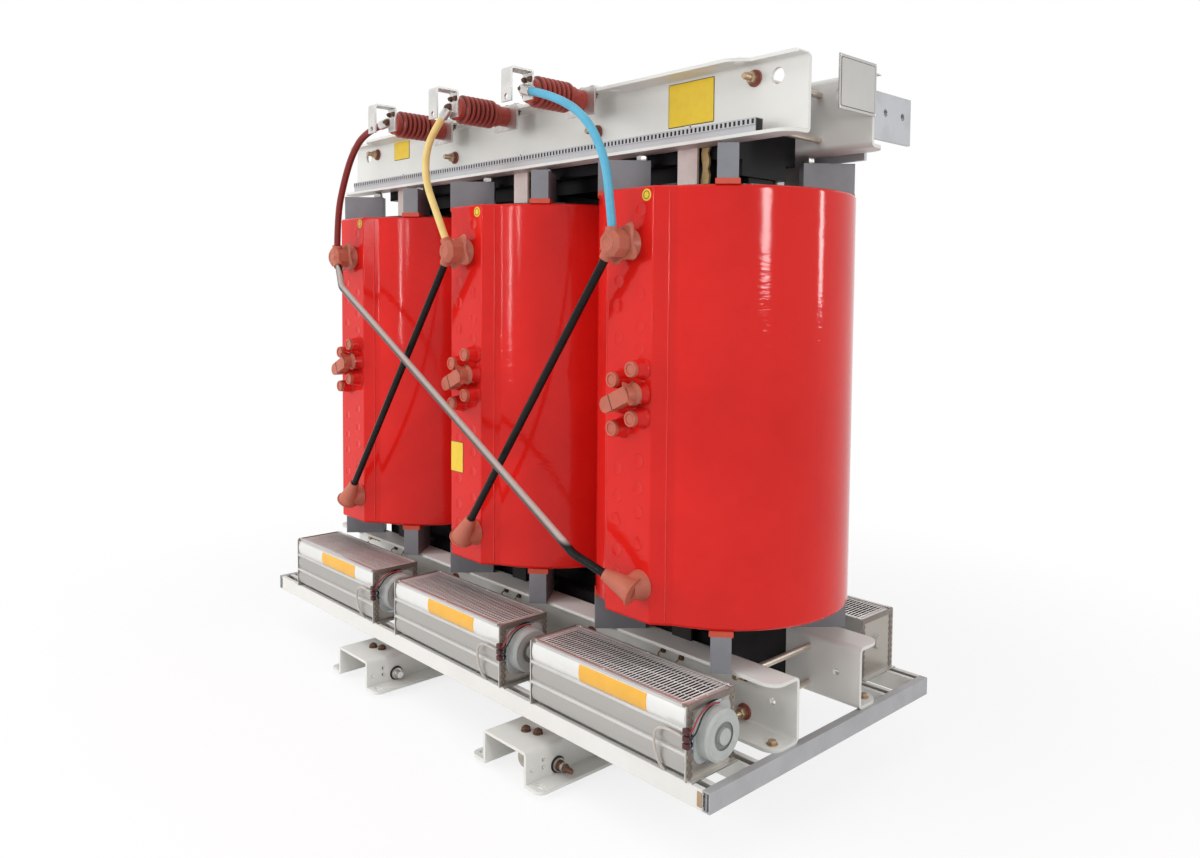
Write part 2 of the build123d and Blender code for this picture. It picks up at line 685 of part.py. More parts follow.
def long_bar_corners():
    """The two corners of the bar that crosses in front of all the coils."""
    x0, y0, z0 = TOP_CAPS[-1]
    y = y0 - LONG_BAR_OUT
    drop = (x0 + LONG_BAR_DROP_X, y, z0 - LONG_BAR_DROP_Z)
    x1 = LOW_CAPS[1][0] - LONG_BAR_RISE_X
    return drop, (x1, y, LOW_CAPS[1][2] + LONG_BAR_RISE_Z)


LONG_DROP, LONG_RISE = long_bar_corners()
BAR_FROM_TOP = {-1: LONG_DROP, 0: LOW_CAPS[-1], 1: LOW_CAPS[0]}
BAR_FROM_LOW = {-1: TOP_CAPS[0], 0: TOP_CAPS[1], 1: LONG_RISE}


def delta_bars(radius):
    bars = []
    for k in (0, 1):
        top = TOP_CAPS[k]
        low = LOW_CAPS[k - 1]
        bars.append(rod(toward(top, low, BAR_SINK), toward(low, top, BAR_SINK), radius))
    start = toward(TOP_CAPS[-1], LONG_DROP, BAR_SINK)
    end = toward(LOW_CAPS[1], LONG_RISE, BAR_SINK)
    bars.append(path_tube([start, LONG_DROP, LONG_RISE, end], LONG_BAR_BEND, radius))
    return bars


save(together(delta_bars(BAR_R)), "delta_bars")

# Line terminals: post insulators on the upper clamp, with a bent strip and a cable lug at the front
POST_X = PHASE_PITCH / 2
POST_Z = UPPER_CLAMP_TOP_Z - POST_DROP
POST_BACK_Y = -CLAMP_WEB_Y - UPPER_FLANGE - POST_PLATE_T
POST_FRONT_Y = POST_BACK_Y - POST_BASE_L - POST_L


def post_insulator(x):
    pitch = (POST_L - 2 * POST_END_L) / POST_RIBS
    ribs0 = POST_BASE_L + POST_END_L
    points = [(0, 0), (POST_BASE_R, 0), (POST_BASE_R, POST_BASE_L), (POST_CORE_R, POST_BASE_L)]
    for rib in range(POST_RIBS):
        z = ribs0 + rib * pitch
        points += [(POST_CORE_R, z), (POST_R, z + pitch / 3), (POST_R, z + pitch * 2 / 3)]
    points += [(POST_CORE_R, POST_BASE_L + POST_L - POST_END_L), (POST_CORE_R, POST_BASE_L + POST_L)]
    points += [(0, POST_BASE_L + POST_L)]
    solid = revolve(Plane.XZ * make_face(Polyline(*points, close=True)), Axis.Z)
    return Pos(x, POST_BACK_Y, POST_Z) * (Rot(90, 0, 0) * solid)


def post_plate(x):
    half = POST_PLATE_W / 2
    y0 = POST_BACK_Y
    top = UPPER_CLAMP_TOP_Z
    upright = block(x - half, x + half, y0, y0 + POST_PLATE_T, top - POST_PLATE_H, top + POST_PLATE_T)
    return upright + block(x - half, x + half, y0, y0 + POST_FOOT_D, top, top + POST_PLATE_T)


def terminal_strip(x):
    """Strip bent over the front of the insulator, with a longer, drilled front leg."""
    y0 = POST_FRONT_Y
    y1 = POST_FRONT_Y - TERM_D
    top = POST_Z + TERM_UP
    low = POST_Z - TERM_DOWN
    back = POST_Z - TERM_BACK_DOWN
    outline = [
        (y0, back), (y0, top), (y1, top), (y1, low), (y1 + TERM_T, low),
        (y1 + TERM_T, top - TERM_T), (y0 - TERM_T, top - TERM_T), (y0 - TERM_T, back),
    ]
    face = make_face(Polyline(*outline, close=True))
    face = fillet([v for v in face.vertices() if abs(v.Y - top) < NEAR], TERM_BEND)
    inner = [v for v in face.vertices() if abs(v.Y - top + TERM_T) < NEAR]
    face = fillet(inner, TERM_BEND - TERM_T)
    strip = Pos(x, 0, 0) * extrude(Plane.YZ * face, amount=TERM_W / 2, both=True)
    hole_z = low + TERM_HOLE_DROP
    return strip - rod((x, y1 - CUT_OVER, hole_z), (x, y1 + TERM_T + CUT_OVER, hole_z), TERM_HOLE_R)


# Line leads: stiff cables, each from a lug in its terminal down to its coil's top cover.
# The middle points of a route are offsets from the insulator's front centre.
LEAD_NAMES = {-1: "red", 0: "yellow", 1: "blue"}
LEAD_ROUTES = {
    -1: [(-125, -22, -13), (-200, -26, -71), (-252, -28, -158), (-295, -26, -248)],
    0: [(-75, -24, -61), (-102, -28, -118), (-95, -30, -193), (-55, -28, -263)],
    1: [(130, -22, -36), (240, -26, -98), (302, -28, -188), (318, -26, -273)],
}
LUG_R = LEAD_R + LUG_WALL
LUG_Y = POST_FRONT_Y - TERM_T - LUG_R


def lead_points(k):
    x = k * POST_X
    route = [(x + dx, POST_FRONT_Y + dy, POST_Z + dz) for dx, dy, dz in LEAD_ROUTES[k]]
    start = toward((x, LUG_Y, POST_Z), route[0], LUG_L)
    end = toward(TOP_CAPS[k], route[-1], NECK_L - LEAD_SINK)
    return [start] + route + [end]


def bend_radii(points):
    """Radius at each corner, as large as its two runs allow."""
    radii = []
    for before, at, after in zip(points, points[1:], points[2:]):
        into = Vector(*at) - Vector(*before)
        out = Vector(*after) - Vector(*at)
        turn = radians(into.get_angle(out))
        radii.append(LEAD_FIT_SHARE * min(into.length, out.length) / tan(turn / 2))
    return radii


def lead(k, radius):
    points = lead_points(k)
    return path_tube(points, bend_radii(points), radius)


def line_terminal(k):
    x = k * POST_X
    half = LUG_PALM / 2
    start = lead_points(k)[0]
    palm = block(x - half, x + half, LUG_Y, POST_FRONT_Y - TERM_T, POST_Z - half, POST_Z + half)
    return terminal_strip(x) + palm + rod((x, LUG_Y, POST_Z), start, LUG_R)


save(together([post_insulator(k * POST_X) for k in PHASES]), "post_insulators")
save(together([post_plate(k * POST_X) for k in PHASES]), "insulator_plates")
save(together([line_terminal(k) for k in PHASES]), "line_terminals")
for k in PHASES:
    print("lead", LEAD_NAMES[k], "bend radii", [round(radius, 1) for radius in bend_radii(lead_points(k))])
    save(lead(k, LEAD_R), f"hv_lead_{LEAD_NAMES[k]}")


# Covers on the flat faces, with sleeves where the bars and leads go in
def top_cap(k):
    x, y, z = TOP_CAPS[k]
    y0 = -HV_FLAT_Y
    collar = cone_bar((x, y0, z), (x, y0 - COLLAR_L, z), COLLAR_R, COLLAR_NECK_R)
    barrel = extrude(Plane.XZ * RegularPolygon(CAP_R, CAP_SIDES, False, 180 / CAP_SIDES), amount=CAP_D)
    barrel = chamfer(barrel.faces().sort_by(Axis.Y)[0].edges(), CAP_CHAMFER)
    neck = rod((x, y, z), toward((x, y, z), lead_points(k)[-2], NECK_L), LEAD_R + NECK_WALL)
    sleeve = cone_bar((x, y, z), toward((x, y, z), BAR_FROM_TOP[k], SLEEVE_L), SLEEVE_R, SLEEVE_END_R)
    return collar + Pos(x, y0 - COLLAR_L, z) * barrel + neck + sleeve


def low_cap(k):
    """Bell over the bar's end, widest past its stud, with a rim, on a collar at the coil."""
    at = LOW_CAPS[k]
    x, y, z = at
    collar = cone_bar((x, -HV_FLAT_Y, z), at, COLLAR_R, COLLAR_NECK_R)
    past = toward(at, BAR_FROM_LOW[k], -BELL_PAST)
    bell = cone_bar(past, toward(at, BAR_FROM_LOW[k], BELL_L), BELL_R, BELL_END_R)
    return collar + bell + rod(past, toward(past, at, BELL_RIM), BELL_R + BELL_RIM)


sockets = delta_bars(BAR_R + RUN_GAP) + [lead(k, LEAD_R + RUN_GAP) for k in PHASES]
save(together([top_cap(k) - sockets for k in PHASES]), "top_caps")
save(together([low_cap(k) - sockets for k in PHASES]), "bottom_caps")


# Fans: folded housings between end plates, a slotted grille on top and a motor at one end
FAN_Z0 = RAIL_TOP_Z + FAN_FOOT
FAN_Z1 = RAIL_TOP_Z + FAN_H - GRILLE_T
FAN_AXIS_Y = -FAN_D / 2
FAN_AXIS_Z = (FAN_Z0 + FAN_Z1) / 2


def fan_housing():
    half = FAN_L / 2
    outer = Pos(0, FAN_Z0) * Rectangle(FAN_D, FAN_Z1 - FAN_Z0, align=(Align.MAX, Align.MIN))
    outer = fillet([v for v in outer.vertices() if v.X < FAN_AXIS_Y and v.Y < FAN_AXIS_Z], FAN_LIP_R)
    section = outer - offset(outer, -FAN_WALL)
    shell = extrude(Plane.YZ * section, amount=half, both=True)
    reach = GRILLE_OPEN_W / 2
    shell -= block(
        -half + GRILLE_END, half - GRILLE_END, FAN_AXIS_Y - reach, FAN_AXIS_Y + reach,
        FAN_AXIS_Z, FAN_Z1,
    )
    for share in FAN_RIDGE_SHARES:
        z = FAN_Z0 + share * (FAN_Z1 - FAN_Z0)
        bead = rod((-half, -FAN_D, z), (half, -FAN_D, z), FAN_RIDGE_R)
        shell += bead - block(-half, half, -FAN_D + FAN_WALL, 0, z - FAN_RIDGE_R, z + FAN_RIDGE_R)
    for side in SIDES:
        edges = sorted((side * half, side * (half + FAN_END_T)))
        shell += block(*edges, -FAN_D - FAN_RIDGE_R, 0, RAIL_TOP_Z, FAN_Z1)
        edges = sorted((side * half, side * (half + FAN_END_LIP)))
        shell += block(*edges, -FAN_D, 0, RAIL_TOP_Z, RAIL_TOP_Z + FAN_END_T)
    end = -half - FAN_END_T
    return shell + rod((end, FAN_AXIS_Y, FAN_AXIS_Z), (end - BOSS_L, FAN_AXIS_Y, FAN_AXIS_Z), BOSS_R)


def fan_grille():
    half = FAN_L / 2
    plate = block(-half, half, -FAN_D, 0, FAN_Z1, FAN_Z1 + GRILLE_T)
    pitch = (FAN_L - 2 * GRILLE_END) / GRILLE_SLOTS
    row = (GRILLE_OPEN_W - GRILLE_ROW_GAP * (GRILLE_ROWS - 1)) / GRILLE_ROWS
    cuts = []
    for r in range(GRILLE_ROWS):
        y0 = FAN_AXIS_Y - GRILLE_OPEN_W / 2 + r * (row + GRILLE_ROW_GAP)
        for s in range(GRILLE_SLOTS):
            x = -half + GRILLE_END + (s + 1 / 2) * pitch
            wide = pitch * GRILLE_SLOT_SHARE / 2
            top = FAN_Z1 + GRILLE_T + CUT_OVER
            cuts.append(block(x - wide, x + wide, y0, y0 + row, FAN_Z1 - CUT_OVER, top))
    return plate - cuts


def fan_motor():
    """Outer-rotor motor on a square base, with a dished end and a hub."""
    x0 = FAN_L / 2 + FAN_END_T
    square = RectangleRounded(MOTOR_BASE_W, MOTOR_BASE_W, MOTOR_BASE_CORNER)
    base = extrude(Plane.YZ * square, amount=MOTOR_BASE_T)
    end = MOTOR_BASE_T + MOTOR_T
    drum = [
        (0, MOTOR_BASE_T), (MOTOR_R, MOTOR_BASE_T), (MOTOR_R, end - MOTOR_RIM), (MOTOR_R - MOTOR_RIM, end),
        (MOTOR_DISH_R, end), (MOTOR_DISH_R, end - MOTOR_DISH), (MOTOR_HUB_R, end - MOTOR_DISH),
        (MOTOR_HUB_R, end + MOTOR_HUB_L), (0, end + MOTOR_HUB_L),
    ]
    solid = revolve(make_face(Polyline(*drum, close=True)), Axis.Y)
    return Pos(x0, FAN_AXIS_Y, FAN_AXIS_Z) * (base + Rot(0, 0, -90) * solid)


def front_fan(shape, k):
    return Pos(k * FAN_PITCH + FRONT_FAN_SHIFT, -FRAME_HALF_Y + FAN_D, 0) * shape


def rear_fan(shape, k):
    return Pos(k * FAN_PITCH, FRAME_HALF_Y - FAN_D, 0) * turned(shape)


for name, piece in (("housings", fan_housing()), ("grilles", fan_grille()), ("motors", fan_motor())):
    save(together([front_fan(piece, k) for k in PHASES]), f"fan_{name}_front")
    save(together([rear_fan(piece, k) for k in PHASES]), f"fan_{name}_rear")


# Wiring duct on the upper front clamp's lower flange, and a blank plate across the clamps' right ends
def wiring_duct():
    half = CLAMP_HALF_LENGTH - DUCT_INSET
    y0 = -CLAMP_WEB_Y - UPPER_FLANGE
    z0 = UPPER_CLAMP_Z + CLAMP_T
    body = block(-half, half, y0, y0 + DUCT_W, z0, z0 + DUCT_H)
    return body - block(
        -half, half, y0 + DUCT_T, y0 + DUCT_W - DUCT_T, z0 + DUCT_T, z0 + DUCT_H - DUCT_T
    )


def name_plate():
    z1 = UPPER_CLAMP_TOP_Z + PLATE_RISE
    x0 = CLAMP_HALF_LENGTH
    return block(x0, x0 + PLATE_T, CLAMP_WEB_Y - PLATE_W, CLAMP_WEB_Y, z1 - PLATE_H, z1)


save(wiring_duct(), "wiring_duct")
save(name_plate(), "name_plate")

# Low-voltage terminals at the rear: a drilled flag for each phase and a neutral bar
LV_TOP_Z = HV_Z1 + PAD_T
LV_ARM_Z = LV_TOP_Z + LV_ARM_RISE
LV_FLAG_TOP_Z = UPPER_CLAMP_TOP_Z - LV_FLAG_DROP
LV_FOOT_Y1 = sqrt(LV_OUT_R ** 2 - LV_SHIFT ** 2) - LV_FOOT_IN
LV_FLAG_Y0 = CLAMP_WEB_Y + UPPER_FLANGE + LV_FLAG_GAP


def lv_holes(x):
    z = LV_FLAG_TOP_Z - LV_HOLE_DROP
    holes = []
    for side in SIDES:
        y = LV_FLAG_Y0 + LV_FLAG_W / 2 + side * LV_HOLE_PITCH / 2
        holes.append(rod((x - LV_BAR_T, y, z), (x + LV_BAR_T, y, z), LV_HOLE_R))
    return holes


def lv_terminal(k):
    x = k * PHASE_PITCH - LV_SHIFT
    foot0 = LV_FOOT_Y1 - LV_FOOT_D
    flag0 = LV_FLAG_Y0
    flag1 = LV_FLAG_Y0 + LV_FLAG_W
    arm_top = LV_ARM_Z + LV_ARM_H
    outline = [
        (foot0, LV_TOP_Z), (LV_FOOT_Y1, LV_TOP_Z), (LV_FOOT_Y1, LV_ARM_Z), (flag1, LV_ARM_Z),
        (flag1, LV_FLAG_TOP_Z), (flag0, LV_FLAG_TOP_Z), (flag0, arm_top), (foot0, arm_top),
    ]
    face = make_face(Polyline(*outline, close=True))
    body = Pos(x, 0, 0) * extrude(Plane.YZ * face, amount=LV_BAR_T / 2, both=True)
    return body - lv_holes(x)


NEUTRAL_Y = CLAMP_WEB_Y + UPPER_FLANGE + AIR_GAP
NEUTRAL_Z = LV_ARM_Z + LV_ARM_H + NEUTRAL_RISE


def neutral_bar():
    """Bar over the phase arms, with a strap down to each coil and a flag at the right end."""
    half = NEUTRAL_STRAP_W / 2
    x0 = -PHASE_PITCH + LV_SHIFT - half
    x1 = PHASE_PITCH + NEUTRAL_END
    y0 = NEUTRAL_Y
    y1 = NEUTRAL_Y + LV_BAR_T
    bar = block(x0, x1, y0, y1, NEUTRAL_Z, NEUTRAL_Z + NEUTRAL_H)
    for k in PHASES:
        mid = k * PHASE_PITCH + LV_SHIFT
        bar += block(mid - half, mid + half, y0, y1, LV_TOP_Z, NEUTRAL_Z)
    bar += block(x1 - NEUTRAL_STRAP_W, x1, y0, y1, NEUTRAL_Z, LV_FLAG_TOP_Z)
    bar += block(x1 - LV_BAR_T, x1, y0, LV_FLAG_Y0 + LV_FLAG_W, LV_FLAG_TOP_Z - LV_FLAG_H, LV_FLAG_TOP_Z)
    return bar - lv_holes(x1 - LV_BAR_T / 2)


def neutral_support(x):
    """Block that carries the bar on the rear clamp's lower flange."""
    half = NEUTRAL_SUPPORT_W / 2
    y0 = CLAMP_WEB_Y + CLAMP_BEND - CLAMP_T
    z0 = UPPER_CLAMP_Z + CLAMP_T
    return block(x - half, x + half, y0, NEUTRAL_Y, z0, z0 + NEUTRAL_SUPPORT_W)


save(together([lv_terminal(k) for k in PHASES]), "lv_terminals")
save(neutral_bar(), "neutral_bar")
save(together([neutral_support(side * PHASE_PITCH / 2) for side in SIDES]), "neutral_supports")
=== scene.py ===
"""Looks of a cast-resin power transformer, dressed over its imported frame. Lengths in metres."""
import math

import bmesh
import bpy
from mathutils import Matrix, Vector


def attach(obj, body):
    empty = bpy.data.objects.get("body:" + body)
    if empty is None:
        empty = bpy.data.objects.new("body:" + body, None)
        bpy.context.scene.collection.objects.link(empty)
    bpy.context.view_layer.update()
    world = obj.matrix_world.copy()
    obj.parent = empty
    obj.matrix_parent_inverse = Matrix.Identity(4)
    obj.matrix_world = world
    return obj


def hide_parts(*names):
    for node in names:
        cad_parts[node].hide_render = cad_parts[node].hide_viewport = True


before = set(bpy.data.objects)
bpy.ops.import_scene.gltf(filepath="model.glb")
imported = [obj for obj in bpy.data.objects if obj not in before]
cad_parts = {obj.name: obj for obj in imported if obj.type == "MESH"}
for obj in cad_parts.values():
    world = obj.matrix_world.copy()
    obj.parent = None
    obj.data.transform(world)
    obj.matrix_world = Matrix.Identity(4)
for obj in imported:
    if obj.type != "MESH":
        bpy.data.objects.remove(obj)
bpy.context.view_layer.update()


# Shared places: three windings in a row along X between twin clamps, on twin trolleys.
# The front is -Y and up is Z; SINK is how far a piece is let into the face under it.

PHASES = (-0.64, 0.0, 0.64)
POSTS = (-0.32, 0.0, 0.32)
TROLLEYS = (-0.374, 0.374)
SIDES = (-1, 1)
FRONT, RIGHT, UP, DOWN = (0, -1, 0), (1, 0, 0), (0, 0, 1), (0, 0, -1)
WEB_FACE = 0.128
FLAT_FACE = -0.326
SINK = 0.0002


# Trolleys: two steel hats folded on a press brake, with slotted flanges for the floor bolts.
# They are powder-painted pale cream, like the clamps and long rails that stand on them.

GLOSS_SWAY = 0.22
DUST_COLOUR = (0.55, 0.52, 0.47)
VECTORS = "VectorMath"


def node_group(name, inputs, outputs):
    """An empty shader node group with the named sockets, and its input and output nodes."""
    group = bpy.data.node_groups.new(name, "ShaderNodeTree")
    kinds = {"colour": "NodeSocketColor", "value": "NodeSocketFloat", "vector": "NodeSocketVector"}
    for label, kind in inputs:
        group.interface.new_socket(name=label, in_out="INPUT", socket_type=kinds[kind])
    for label, kind in outputs:
        group.interface.new_socket(name=label, in_out="OUTPUT", socket_type=kinds[kind])
    return group, group.nodes.new("NodeGroupInput"), group.nodes.new("NodeGroupOutput")


def supply(tree, entry, value):
    """Link a node's input to a socket, or set it to a fixed value."""
    if isinstance(value, bpy.types.NodeSocket):
        tree.links.new(value, entry)
    else:
        entry.default_value = value


def add(tree, kind, settings=None, **values):
    """A shader node of a tree, with its properties set and its inputs set or linked."""
    node = tree.nodes.new("ShaderNode" + kind)
    for label, value in (settings or {}).items():
        setattr(node, label, value)
    for label, value in values.items():
        supply(tree, node.inputs[label.replace("_", " ")], value)
    return node


def maths(tree, operation, *terms, kind="Math"):
    """The value of an operation on sockets and fixed values."""
    node = add(tree, kind, {"operation": operation})
    for entry, term in zip(node.inputs, terms):
        supply(tree, entry, term)
    return node.outputs["Value"]


def ramp(tree, value, low, high):
    """A share that goes from 0 to 1 as a value goes from low to high."""
    return add(tree, "MapRange", Value=value, From_Min=low, From_Max=high).outputs["Result"]


def here(tree):
    """The shaded point's place in the object's own frame."""
    return add(tree, "TexCoord").outputs["Object"]


def facing(tree, label="Normal"):
    """The way the shaded face looks."""
    return add(tree, "NewGeometry").outputs[label]


def split(tree, vector):
    """The X, Y and Z sockets of a vector."""
    return add(tree, "SeparateXYZ", Vector=vector).outputs


def noise(tree, vector, scale, detail, roughness=0.5):
    """Soft noise over a vector, finer as its scale grows."""
    return add(tree, "TexNoise", Vector=vector, Scale=scale, Detail=detail,
               Roughness=roughness).outputs["Fac"]


def blended(tree, share, below, above):
    """The colour of a mix of two sockets or fixed colours by a share socket."""
    mix = add(tree, "Mix", {"data_type": "RGBA"}, Factor=share)
    for place, colour in ((6, below), (7, above)):
        supply(tree, mix.inputs[place], (*colour, 1) if isinstance(colour, tuple) else colour)
    return mix.outputs[2]


def grime_group():
    """Soft stains over a clean colour, a roughness that follows them, and a fine grain height."""
    group, come, go = node_group(
        "grime", [("Clean", "colour"), ("Stain", "colour"), ("Size", "value"), ("Amount", "value"),
                  ("Gloss", "value"), ("Grain", "value")],
        [("Color", "colour"), ("Roughness", "value"), ("Height", "value")])
    given = come.outputs
    broad = noise(group, here(group), given["Size"], detail=5.0, roughness=0.62)
    share = maths(group, "MULTIPLY", ramp(group, broad, 0.42, 0.78), given["Amount"])
    supply(group, go.inputs["Color"], blended(group, share, given["Clean"], given["Stain"]))
    supply(group, go.inputs["Roughness"], maths(group, "MULTIPLY_ADD", broad, GLOSS_SWAY, given["Gloss"]))
    supply(group, go.inputs["Height"], noise(group, here(group), given["Grain"], detail=2.0))
    return group


def edge_group():
    """A mask along sharp edges, and a normal that rounds them, both from a small bevel radius."""
    group, come, go = node_group("edge", [("Radius", "value")], [("Mask", "value"), ("Normal", "vector")])
    rounded = add(group, "Bevel", {"samples": 4}, Radius=come.outputs["Radius"]).outputs["Normal"]
    alike = maths(group, "DOT_PRODUCT", rounded, facing(group), kind=VECTORS)
    supply(group, go.inputs["Mask"], ramp(group, alike, 0.99, 0.8))
    supply(group, go.inputs["Normal"], rounded)
    return group


def dust_group():
    """Workshop dust that settles on faces that look up: a mask of the upward normal and noise."""
    group, come, go = node_group("dust", [("Amount", "value")], [("Mask", "value")])
    level = ramp(group, split(group, facing(group))["Z"], 0.55, 0.95)
    patches = maths(group, "MULTIPLY", level, noise(group, here(group), 11.0, detail=6.0, roughness=0.7))
    supply(group, go.inputs["Mask"], maths(group, "MULTIPLY", patches, come.outputs["Amount"]))
    return group


GRIME = grime_group()
EDGE = edge_group()
DUST = dust_group()


def finish(name, clean, stain, size, gloss, amount=0.5, grain=700.0, bump=0.0002, metallic=0.0,
           shine=0.35, edge=None, worn=None, wear=0.5, dust=0.0):
    """A material with stains, grain, worn edges and settled dust."""
    material = bpy.data.materials.new(name)
    material.use_nodes = True
    tree = material.node_tree
    grime = add(tree, "Group", {"node_tree": GRIME}, Clean=(*clean, 1), Stain=(*stain, 1),
                Size=size, Amount=amount, Gloss=gloss - GLOSS_SWAY / 2, Grain=grain).outputs
    relief = add(tree, "Bump", Strength=0.35, Distance=bump, Height=grime["Height"])
    colour = grime["Color"]
    if edge:
        rim = add(tree, "Group", {"node_tree": EDGE}, Radius=edge).outputs
        supply(tree, relief.inputs["Normal"], rim["Normal"])
        if worn:
            colour = blended(tree, maths(tree, "MULTIPLY", rim["Mask"], wear), colour, worn)
    if dust:
        fall = add(tree, "Group", {"node_tree": DUST}, Amount=dust).outputs["Mask"]
        colour = blended(tree, fall, colour, DUST_COLOUR)
    shader = tree.nodes["Principled BSDF"]
    for label, value in (("Metallic", metallic), ("Specular IOR Level", shine), ("Base Color", colour),
                         ("Roughness", grime["Roughness"]), ("Normal", relief.outputs["Normal"])):
        supply(tree, shader.inputs[label], value)
    return material


def dress(material, *nodes):
    """Give CAD nodes a material."""
    for node in nodes:
        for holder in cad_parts[node].material_slots:
            holder.material = material


cream = finish(
    "frame_paint", (0.73, 0.725, 0.695), (0.62, 0.605, 0.56), size=5.0, gloss=0.4, amount=0.45, grain=900.0,
    bump=0.00022, edge=0.002, worn=(0.82, 0.815, 0.79), dust=0.15)
dress(cream, "trolley_left", "trolley_right", "trolley_feet")


# Trolley bolts: short hexagon bolts that hold the trolleys to the rails' feet, rusted brown.
# Each is turned and rolled steel, set through a plain washer.

HAT_TOP = 0.101
TROLLEY_BOLTS = ((-0.008, 0.4), (0.024, 0.388))
THREAD_PITCH = 0.0035
SHARP_ANGLE = math.radians(34)


def loop(bm, at, axis, along, radii, turn=0.0):
    """A loop of corners round an axis, evenly spaced, at the given radii."""
    way = Vector(axis).to_track_quat("Z", "Y")
    corners = []
    for i, radius in enumerate(radii):
        angle = math.tau * i / len(radii) + turn
        spoke = Vector((radius * math.cos(angle), radius * math.sin(angle), along))
        corners.append(bm.verts.new(Vector(at) + way @ spoke))
    return corners


def bridge(bm, loops):
    """Faces between each loop of corners and the next one."""
    for low, high in zip(loops, loops[1:]):
        for i in range(len(low)):
            j = (i + 1) % len(low)
            bm.faces.new((low[i], low[j], high[j], high[i]))


def skin(bm, loops):
    """A closed skin over loops of corners: the faces between them and one over each end."""
    bridge(bm, loops)
    bm.faces.new(list(reversed(loops[0])))
    bm.faces.new(loops[-1])


def turned(bm, at, axis, rings, sides=24):
    """A turned form: rings of distance along the axis and radius, closed at both ends."""
    skin(bm, [loop(bm, at, axis, along, [radius] * sides) for along, radius in rings])


def washer(bm, at, axis, radius, thick):
    """A plain washer with eased rims."""
    ease = thick * 0.2
    inside = radius - ease
    turned(bm, at, axis, [(0, inside), (ease, radius), (thick - ease, radius), (thick, inside)])


def hexagon(bm, at, axis, across, high, start=0.0, stud=None):
    """A hexagon head or nut with a crowned top, and the threaded stud that stands out of it."""
    corner = across / 2 / math.cos(math.pi / 6)
    top = start + high
    turned(bm, at, axis, [(start, corner * 0.96), (start + high * 0.08, corner),
                          (start + high * 0.84, corner), (top, corner * 0.86)], 6)
    if stud:
        radius, long = stud
        rings = [(top - high * 0.1, radius)]
        turns = max(2, int(long / THREAD_PITCH))
        for i in range(turns):
            low = top + long * i / turns
            rings += [(low, radius), (low + long * 0.5 / turns, radius * 0.88)]
        turned(bm, at, axis, rings + [(top + long, radius * 0.8)], 14)


def bolt(bm, at, axis, disc, head, stud=None):
    """A hexagon on a washer: disc is radius and thickness, head is width across flats and height."""
    washer(bm, at, axis, *disc)
    hexagon(bm, at, axis, *head, start=disc[1], stud=stud)


def piece(name, bm, material):
    """A mesh piece that rides on the transformer, smooth except at its sharp edges."""
    bmesh.ops.recalc_face_normals(bm, faces=bm.faces)
    mesh = bpy.data.meshes.new(name)
    bm.to_mesh(mesh)
    bm.free()
    mesh.materials.append(material)
    for face in mesh.polygons:
        face.use_smooth = True
    mesh.set_sharp_from_angle(angle=SHARP_ANGLE)
    made = bpy.data.objects.new(name, mesh)
    bpy.context.scene.collection.objects.link(made)
    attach(made, "transformer")
    return made


rusty = finish(
    "bolt_brown", (0.17, 0.085, 0.055), (0.08, 0.035, 0.025), size=90.0, gloss=0.45, amount=0.8,
    grain=1500.0, bump=0.0003, metallic=0.55, edge=0.0008, worn=(0.55, 0.42, 0.34), wear=0.7)
bolts = bmesh.new()
for x in TROLLEYS:
    for side in SIDES:
        for dx, y in TROLLEY_BOLTS:
            at = (x + dx, side * y, HAT_TOP - SINK)
            bolt(bolts, at, UP, (0.0125, 0.002), (0.019, 0.0085), (0.006, 0.0025))
piece("trolley_bolts", bolts, rusty)


# Wheels: turned cast-iron rollers inside the hats, painted cream-grey, worn on the tread.
# Each runs on a fixed axle that is held by its head on one side and a nut on the other.

iron = finish(
    "wheel_iron", (0.44, 0.41, 0.35), (0.24, 0.19, 0.14), size=34.0, gloss=0.5, amount=0.75, bump=0.0004,
    metallic=0.25, edge=0.0015, worn=(0.32, 0.25, 0.19), wear=0.8)
dress(iron, "wheel_front_left", "wheel_front_right", "wheel_rear_left", "wheel_rear_right")
zinc = finish(
    "zinc_steel", (0.66, 0.65, 0.63), (0.42, 0.39, 0.34), size=60.0, gloss=0.32, amount=0.55, grain=900.0,
    bump=0.0001, metallic=0.85, edge=0.0008, worn=(0.82, 0.82, 0.8))
dress(zinc, "wheel_axles", "insulator_plates")


# Axle ends: black rings on the outer ends of the axles.
# The right trolley's axles are drawn up with a rusted nut and a locknut on a long thread.

AXLE_Y, AXLE_Z = 0.377, 0.044
AXLE_END, AXLE_HEAD, LOCKNUT = 0.0852, 0.0078, 0.0268
AXLE_RING = [(0, 0.0195), (0.0006, 0.02), (0.0024, 0.02), (0.003, 0.019)]

# This black serves the axle rings, link joints and lead collars, and is painted shade on the rail-end
# plates, the duct's inside and the web-hole dots.
black_and_painted_shade = finish(
    "ring_black", (0.014, 0.013, 0.013), (0.035, 0.03, 0.028), size=60.0, gloss=0.45, shine=0.25)
rings, nuts = bmesh.new(), bmesh.new()
for x in TROLLEYS:
    for side in SIDES:
        face, y = x + AXLE_END, side * AXLE_Y
        turned(rings, (face, y, AXLE_Z), RIGHT, AXLE_RING, 32)
        if x > 0:
            bolt(nuts, (face + AXLE_HEAD, y, AXLE_Z), RIGHT, (0.0135, 0.002), (0.021, 0.01), (0.007, 0.034))
            hexagon(nuts, (face + LOCKNUT, y, AXLE_Z), RIGHT, 0.019, 0.009)
piece("axle_rings", rings, black_and_painted_shade)
piece("axle_nuts", nuts, rusty)


# Long rails: cream-painted lipped channels, cold-rolled, that carry the fans along both sides.
# The end rails are bare galvanised channels, pushed over their ends and screwed.

